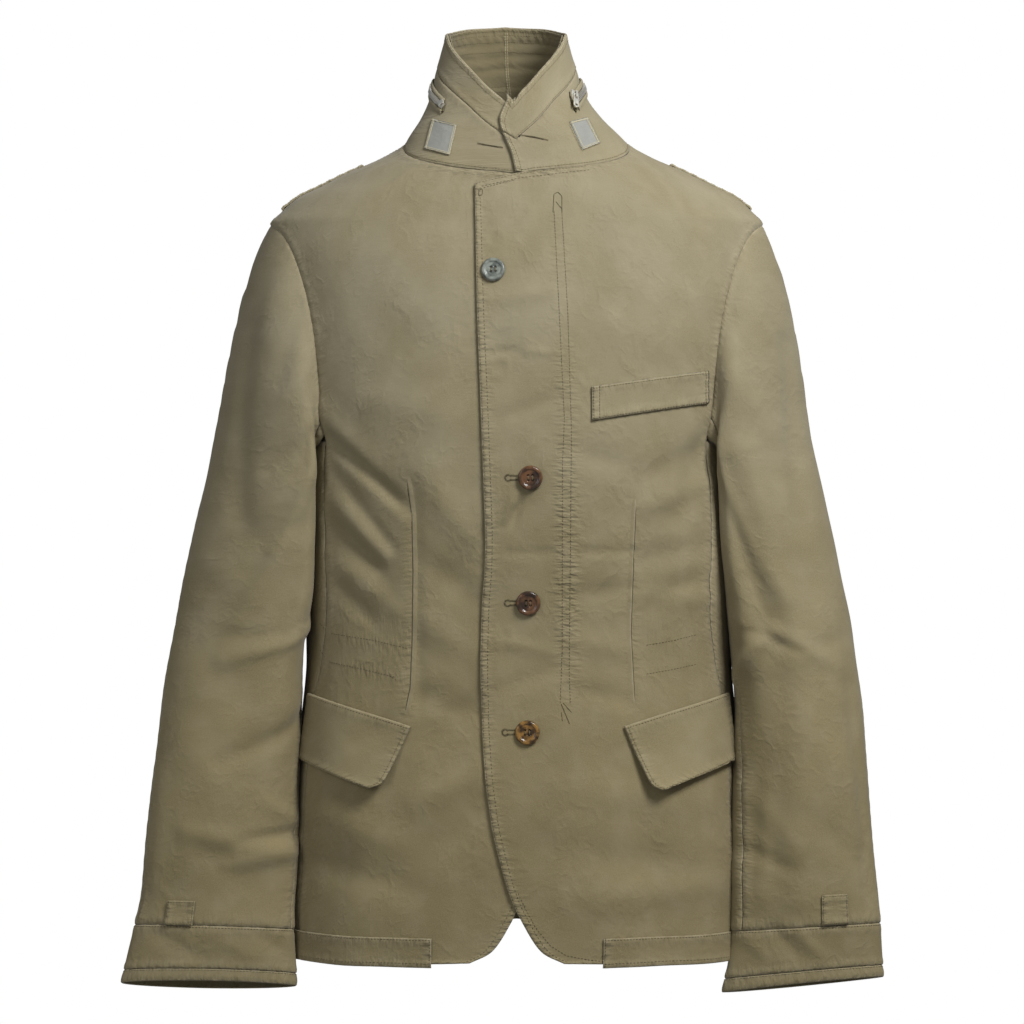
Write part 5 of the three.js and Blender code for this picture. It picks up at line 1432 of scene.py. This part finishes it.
def whipped(tree, pairs, half):
    """Buttonhole stitches: short, close together and across a line."""
    line = resample(seen_line(pairs), WHIP_PITCH)
    way = unit(np.gradient(line, axis=0))
    for (x, z), (dx, dz) in zip(line, way):
        ends = np.array([(x - dz * half, z + dx * half), (x + dz * half, z - dx * half)])
        points, normals = drop(tree, ends[:, 0], ends[:, 1], THREAD_RISE)
        if len(points) == 2:
            sew(points, normals, "dark", max(2 * half - 0.2, 0.8))


# Buttonholes of the front: column and row of the round end, column of the other end
EYELETS = [(508, 478, 519), (507.5, 603, 518), (505, 732, 516)]
SLITS = []
for col, row, end in EYELETS:
    ring = [(col + 3.0 * math.cos(a), row + 3.0 * math.sin(a)) for a in np.radians(range(30, 331, 20))]
    whipped(FRONT_TREE, ring, 1.1)
    whipped(FRONT_TREE, [(col + 3, row - 2.2), (end, row - 2.0)], 1.0)
    whipped(FRONT_TREE, [(col + 3, row + 2.2), (end, row + 2.0)], 1.0)
    SLITS.append(([(col - 1.6, row), (end, row)], 1))
# Near-black strips along the cuts of the buttonholes are painted shade
SLIT_SHADE = plain_material("painted_shade_of_buttonhole", "#1d1810", 1.0)
strips("buttonhole_slits", FRONT_TREE, SLITS, [(-0.9, 0.12), (0, 0.2), (0.9, 0.12)], SLIT_SHADE)

# Buttonholes of the collar
COLLAR_TREE = tree_of("cloth_collar_lower", "cloth_collar_upper")
COLLAR_HOLES = [
    ("collar_buttonhole_477", [(477, 139), (490, 141.5), (502, 143.5)], 1.6),
    ("collar_buttonhole_520", [(520, 131), (534, 133), (548, 136)], 1.5),
]
# Each collar buttonhole and the keyhole get a near-black strip of painted shade
for name, line, half in COLLAR_HOLES:
    whipped(COLLAR_TREE, line, half)
    strips(name, COLLAR_TREE, [(line, 1)], [(-0.55, 0.25), (0, 0.5), (0.55, 0.25)], SLIT_SHADE)
KEYHOLE = [([(515.8, 130.6), (520.4, 131.8)], 1)]
strips("collar_keyhole", COLLAR_TREE, KEYHOLE, [(-1.4, 0.3), (0, 0.6), (1.4, 0.3)], SLIT_SHADE)


# Zigzag round the hook-and-loop patches
for side, (low_in, low_out, high_in, high_out) in PATCHES.items():
    corners = np.array([low_in, low_out, high_out, high_in, low_in], float)
    corners[:, 0] *= SIGN[side]
    middle = corners[:4].mean(0)
    line = resample(corners, 1.5)
    patch_tree = tree_of(f"cloth_patch_{side}", "cloth_collar_lower", "cloth_collar_upper")
    cord = middle + (line - middle) * 0.93
    points, normals = drop(patch_tree, cord[:, 0], cord[:, 1], 0.3)
    sew(points, normals, "pale", 1.2)
    outside, inside = middle + (line - middle) * 1.06, middle + (line - middle) * 0.84
    zigzag = np.where((np.arange(len(line)) % 2 == 0)[:, None], outside, inside)
    for first, second in zip(zigzag[:-1], zigzag[1:]):
        pair = np.array([first, second])
        points, normals = drop(patch_tree, pair[:, 0], pair[:, 1], 0.2)
        if len(points) == 2:
            sew(points, normals, "pale", max(float(np.linalg.norm(points[1] - points[0])) - 0.1, 0.6))


# Zip: teeth along the tape
TOOTH_PITCH = 2.5
zip_degrees = np.linspace(ZIP_LINE[0, 0] + 4, ZIP_LINE[-1, 0] - 1, 900)
zip_line, zip_normal = collar_frame(zip_degrees, sample(ZIP_LINE, 1, zip_degrees), ON_ZIP + 0.45)
sew(zip_line, zip_normal, "teeth", TOOTH_PITCH)
# Lips of cloth over both edges of the tape: distance from its middle, height
LIP_PROFILE = [(3.4, 0.75), (4.4, 1.0), (5.6, 0.75), (7.0, -0.1)]
lip_degrees = zip_degrees[::3]
lip_middle = sample(ZIP_LINE, 1, lip_degrees)
for sign, name in ((-1, "zip_lip_low"), (1, "zip_lip_high")):
    layers = [collar_frame(lip_degrees, lip_middle + sign * w, ON_ZIP - 0.8 + h)[0] for w, h in LIP_PROFILE]
    point = np.stack(layers)
    normal = np.broadcast_to(zip_normal[::3], point.shape)
    finish_piece(shell(name, point, normal, 0.5, (90, 30)), None, COTTON_FLAT)


def finer(node, name, material, body, width):
    """A finer copy of a CAD solid, with its edges rounded."""
    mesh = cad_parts[node].data.copy()
    work = bmesh.new()
    work.from_mesh(mesh)
    bmesh.ops.remove_doubles(work, verts=work.verts, dist=0.00001)
    bmesh.ops.dissolve_limit(work, angle_limit=math.radians(2), verts=work.verts, edges=work.edges)
    work.to_mesh(mesh)
    work.free()
    rough = link_object(name + "_rough", mesh)
    bevel = rough.modifiers.new("round", "BEVEL")
    bevel.width = width * MM
    bevel.segments = 3
    bevel.limit_method = "ANGLE"
    result = bpy.data.meshes.new_from_object(rough.evaluated_get(bpy.context.evaluated_depsgraph_get()))
    bpy.data.objects.remove(rough)
    result.name = name
    result.polygons.foreach_set("use_smooth", np.ones(len(result.polygons), bool))
    return finish_piece(link_object(name, result), node, material, body)


finer("zip_slider", "cast_slider", NICKEL, "garment", 0.25)
finer("zip_stop", "pressed_stop", NICKEL, "garment", 0.3)
finer("zip_pull", "cast_pull", NICKEL, "pull", 0.2)


# Repeats: every stitch and tooth is an instance on a point
def repeat_tree():
    tree = bpy.data.node_groups.new("place_repeats", "GeometryNodeTree")
    tree.interface.new_socket("Points", in_out="INPUT", socket_type="NodeSocketGeometry")
    tree.interface.new_socket("Shape", in_out="INPUT", socket_type="NodeSocketObject")
    tree.interface.new_socket("Material", in_out="INPUT", socket_type="NodeSocketMaterial")
    tree.interface.new_socket("Seed", in_out="INPUT", socket_type="NodeSocketInt")
    tree.interface.new_socket("Geometry", in_out="OUTPUT", socket_type="NodeSocketGeometry")
    entry, leave = tree.nodes.new("NodeGroupInput"), tree.nodes.new("NodeGroupOutput")
    shape = add(tree, "GeometryNodeObjectInfo", {"Object": entry.outputs["Shape"]})
    kind = "GeometryNodeInputNamedAttribute"
    way, out, size = (add(tree, kind, {"Name": n}, data_type="FLOAT_VECTOR").outputs["Attribute"]
                      for n in ("way", "out", "size"))
    along = add(tree, "FunctionNodeAlignRotationToVector", {"Vector": way}, axis="X")
    facing = add(tree, "FunctionNodeAlignRotationToVector",
                 {"Rotation": along.outputs["Rotation"], "Vector": out}, axis="Z", pivot_axis="X")
    limits = {0: (0.88, 0.9, 0.9), 1: (1.1, 1.1, 1.1), "Seed": entry.outputs["Seed"]}
    vary = add(tree, "FunctionNodeRandomValue", limits, data_type="FLOAT_VECTOR")
    scale = add(tree, "ShaderNodeVectorMath", {0: size, 1: vary.outputs[0]}, operation="MULTIPLY")
    placed = add(tree, "GeometryNodeInstanceOnPoints", {
        "Points": entry.outputs["Points"], "Instance": shape.outputs["Geometry"],
        "Rotation": facing.outputs["Rotation"], "Scale": scale.outputs["Vector"],
    })
    real = add(tree, "GeometryNodeRealizeInstances", {"Geometry": placed.outputs["Instances"]})
    final = add(tree, "GeometryNodeSetMaterial",
                {"Geometry": real.outputs["Geometry"], "Material": entry.outputs["Material"]})
    tree.links.new(final.outputs["Geometry"], leave.inputs["Geometry"])
    return tree


REPEATS = repeat_tree()


def repeat(name, rows, shape, material, size, seed):
    """One plain mesh of all the repeats in the rows."""
    spot, way, out = (np.concatenate([row[k] for row in rows]) for k in range(3))
    mesh = bpy.data.meshes.new(name + "_points")
    mesh.from_pydata((spot * MM).tolist(), [], [])
    for key, values in (("way", way), ("out", out), ("size", np.broadcast_to(size, spot.shape))):
        data = mesh.attributes.new(key, "FLOAT_VECTOR", "POINT").data
        data.foreach_set("vector", np.ascontiguousarray(values, np.float32).ravel())
    points = link_object(name + "_points", mesh)
    modifier = points.modifiers.new("repeats", "NODES")
    modifier.node_group = REPEATS
    inputs = {s.name: s.identifier for s in REPEATS.interface.items_tree if s.in_out == "INPUT"}
    modifier[inputs["Shape"]] = shape
    modifier[inputs["Material"]] = material
    modifier[inputs["Seed"]] = seed
    points.update_tag()
    bpy.context.view_layer.update()
    result = bpy.data.meshes.new_from_object(points.evaluated_get(bpy.context.evaluated_depsgraph_get()))
    result.name = name
    bpy.data.objects.remove(points)
    return finish_piece(link_object(name, result), None, material)


def stitch_shape():
    """A unit stitch along X, thick in its middle and dipping at both ends."""
    turns = np.radians(np.arange(0, 360, 72))
    vertices = [(-0.5, 0, -0.5), (0.5, 0, -0.5)]
    for x in (-0.28, 0.28):
        vertices += [(x, 0.5 * math.cos(t), 0.5 * math.sin(t)) for t in turns]
    faces = []
    for k in range(5):
        n = (k + 1) % 5
        faces += [(0, 2 + n, 2 + k), (1, 7 + k, 7 + n), (2 + k, 2 + n, 7 + n, 7 + k)]
    return mesh_object("stitch_shape", np.array(vertices) / MM, faces)


def tooth_shape():
    """A unit zip tooth: a bar across the tape, lying along Y."""
    mesh = bpy.data.meshes.new("tooth_shape")
    corners = [(x, y, z) for x in (-0.5, 0.5) for y in (-0.5, 0.5) for z in (-0.5, 0.5)]
    corners = [(x * (0.75 if z > 0 else 1), y * (0.8 if z > 0 else 1), z) for x, y, z in corners]
    faces = [(0, 1, 3, 2), (4, 6, 7, 5), (0, 4, 5, 1), (2, 3, 7, 6), (0, 2, 6, 4), (1, 5, 7, 3)]
    mesh.from_pydata(corners, [], faces)
    return link_object("tooth_shape", mesh)


STITCH, TOOTH = stitch_shape(), tooth_shape()
REPEAT_KINDS = {
    "plain": (STITCH, THREAD, (2.4, 0.55, 0.5), "cotton_cloth"),
    "dark": (STITCH, THREAD_DARK, (2.2, 0.55, 0.5), "cotton_cloth"),
    "pale": (STITCH, THREAD_PALE, (1.9, 0.6, 0.5), "cotton_cloth"),
    "button": (STITCH, THREAD, (4.6, 0.8, 0.9), "cotton_cloth"),
    "teeth": (TOOTH, NICKEL, (1.35, 5.6, 1.5), "zip_metal"),
}
for number, (kind, rows) in enumerate(sorted(STITCHES.items())):
    shape, material, size, slot = REPEAT_KINDS[kind]
    repeat(f"repeats_{kind}", rows, shape, material, np.array(size) * MM, 11 + number)
bpy.data.objects.remove(STITCH)
bpy.data.objects.remove(TOOTH)


# Flat sizes of the cut sheets
NARROWEST = 0.01
for name, entry in COLLECTED.items():
    wide, long, area = flat_size(name)
    long = max(long, NARROWEST)
    area = min(area, wide * long)
    entry["flat"] = (round(wide, 4), round(long, 4), round(area, 5))
print("SHEETS", {n: e["flat"] for n, e in COLLECTED.items()})


# Camera, light and backdrop
scene = bpy.context.scene
CAMERA_PLACE, CAMERA_LENS = (-0.004, -3.0, -0.327), 119.9
camera = link_object("camera", bpy.data.cameras.new("camera"))
camera.data.sensor_width = 36
camera.data.lens = CAMERA_LENS
camera.location = CAMERA_PLACE
camera.rotation_euler = (math.pi / 2, 0, 0)
scene.camera = camera


def lamp(name, place, target, size, power):
    data = bpy.data.lights.new(name, "AREA")
    data.shape = "RECTANGLE"
    data.size, data.size_y = size
    data.energy = power
    obj = link_object(name, data)
    obj.location = place
    obj.rotation_euler = (Vector(target) - Vector(place)).to_track_quat("-Z", "Y").to_euler()


lamp("key", (0.85, -1.1, 0.85), (0, 0, -0.25), (0.6, 0.6), 33)
lamp("fill", (-1.5, -2.0, 0.3), (0, 0, -0.3), (1.2, 1.2), 12)
lamp("rim", (0.3, 1.4, 1.5), (0, 0, -0.2), (1.2, 0.8), 6)
world = bpy.data.worlds.new("studio")
world.use_nodes = True
world.node_tree.nodes["Background"].inputs["Color"].default_value = (0.94, 0.97, 1.0, 1)
world.node_tree.nodes["Background"].inputs["Strength"].default_value = 0.2
scene.world = world
scene.view_settings.view_transform = "Standard"

# A pale dome all round, seen by the camera alone, so that it lights nothing
DOME_RADIUS = 7.0
dome_mesh = bpy.data.meshes.new("backdrop")
dome = bmesh.new()
bmesh.ops.create_uvsphere(dome, u_segments=48, v_segments=24, radius=DOME_RADIUS)
dome.to_mesh(dome_mesh)
dome.free()
backdrop = link_object("backdrop", dome_mesh)
paper, _, paper_shader = new_material("white_paper")
paper_shader.inputs["Base Color"].default_value = linear("#000000")
paper_shader.inputs["Specular IOR Level"].default_value = 0
paper_shader.inputs["Emission Color"].default_value = (1, 1, 1, 1)
paper_shader.inputs["Emission Strength"].default_value = 1.0
dome_mesh.materials.append(paper)
backdrop.visible_diffuse = False
backdrop.visible_glossy = False
backdrop.visible_transmission = False
backdrop.visible_shadow = False
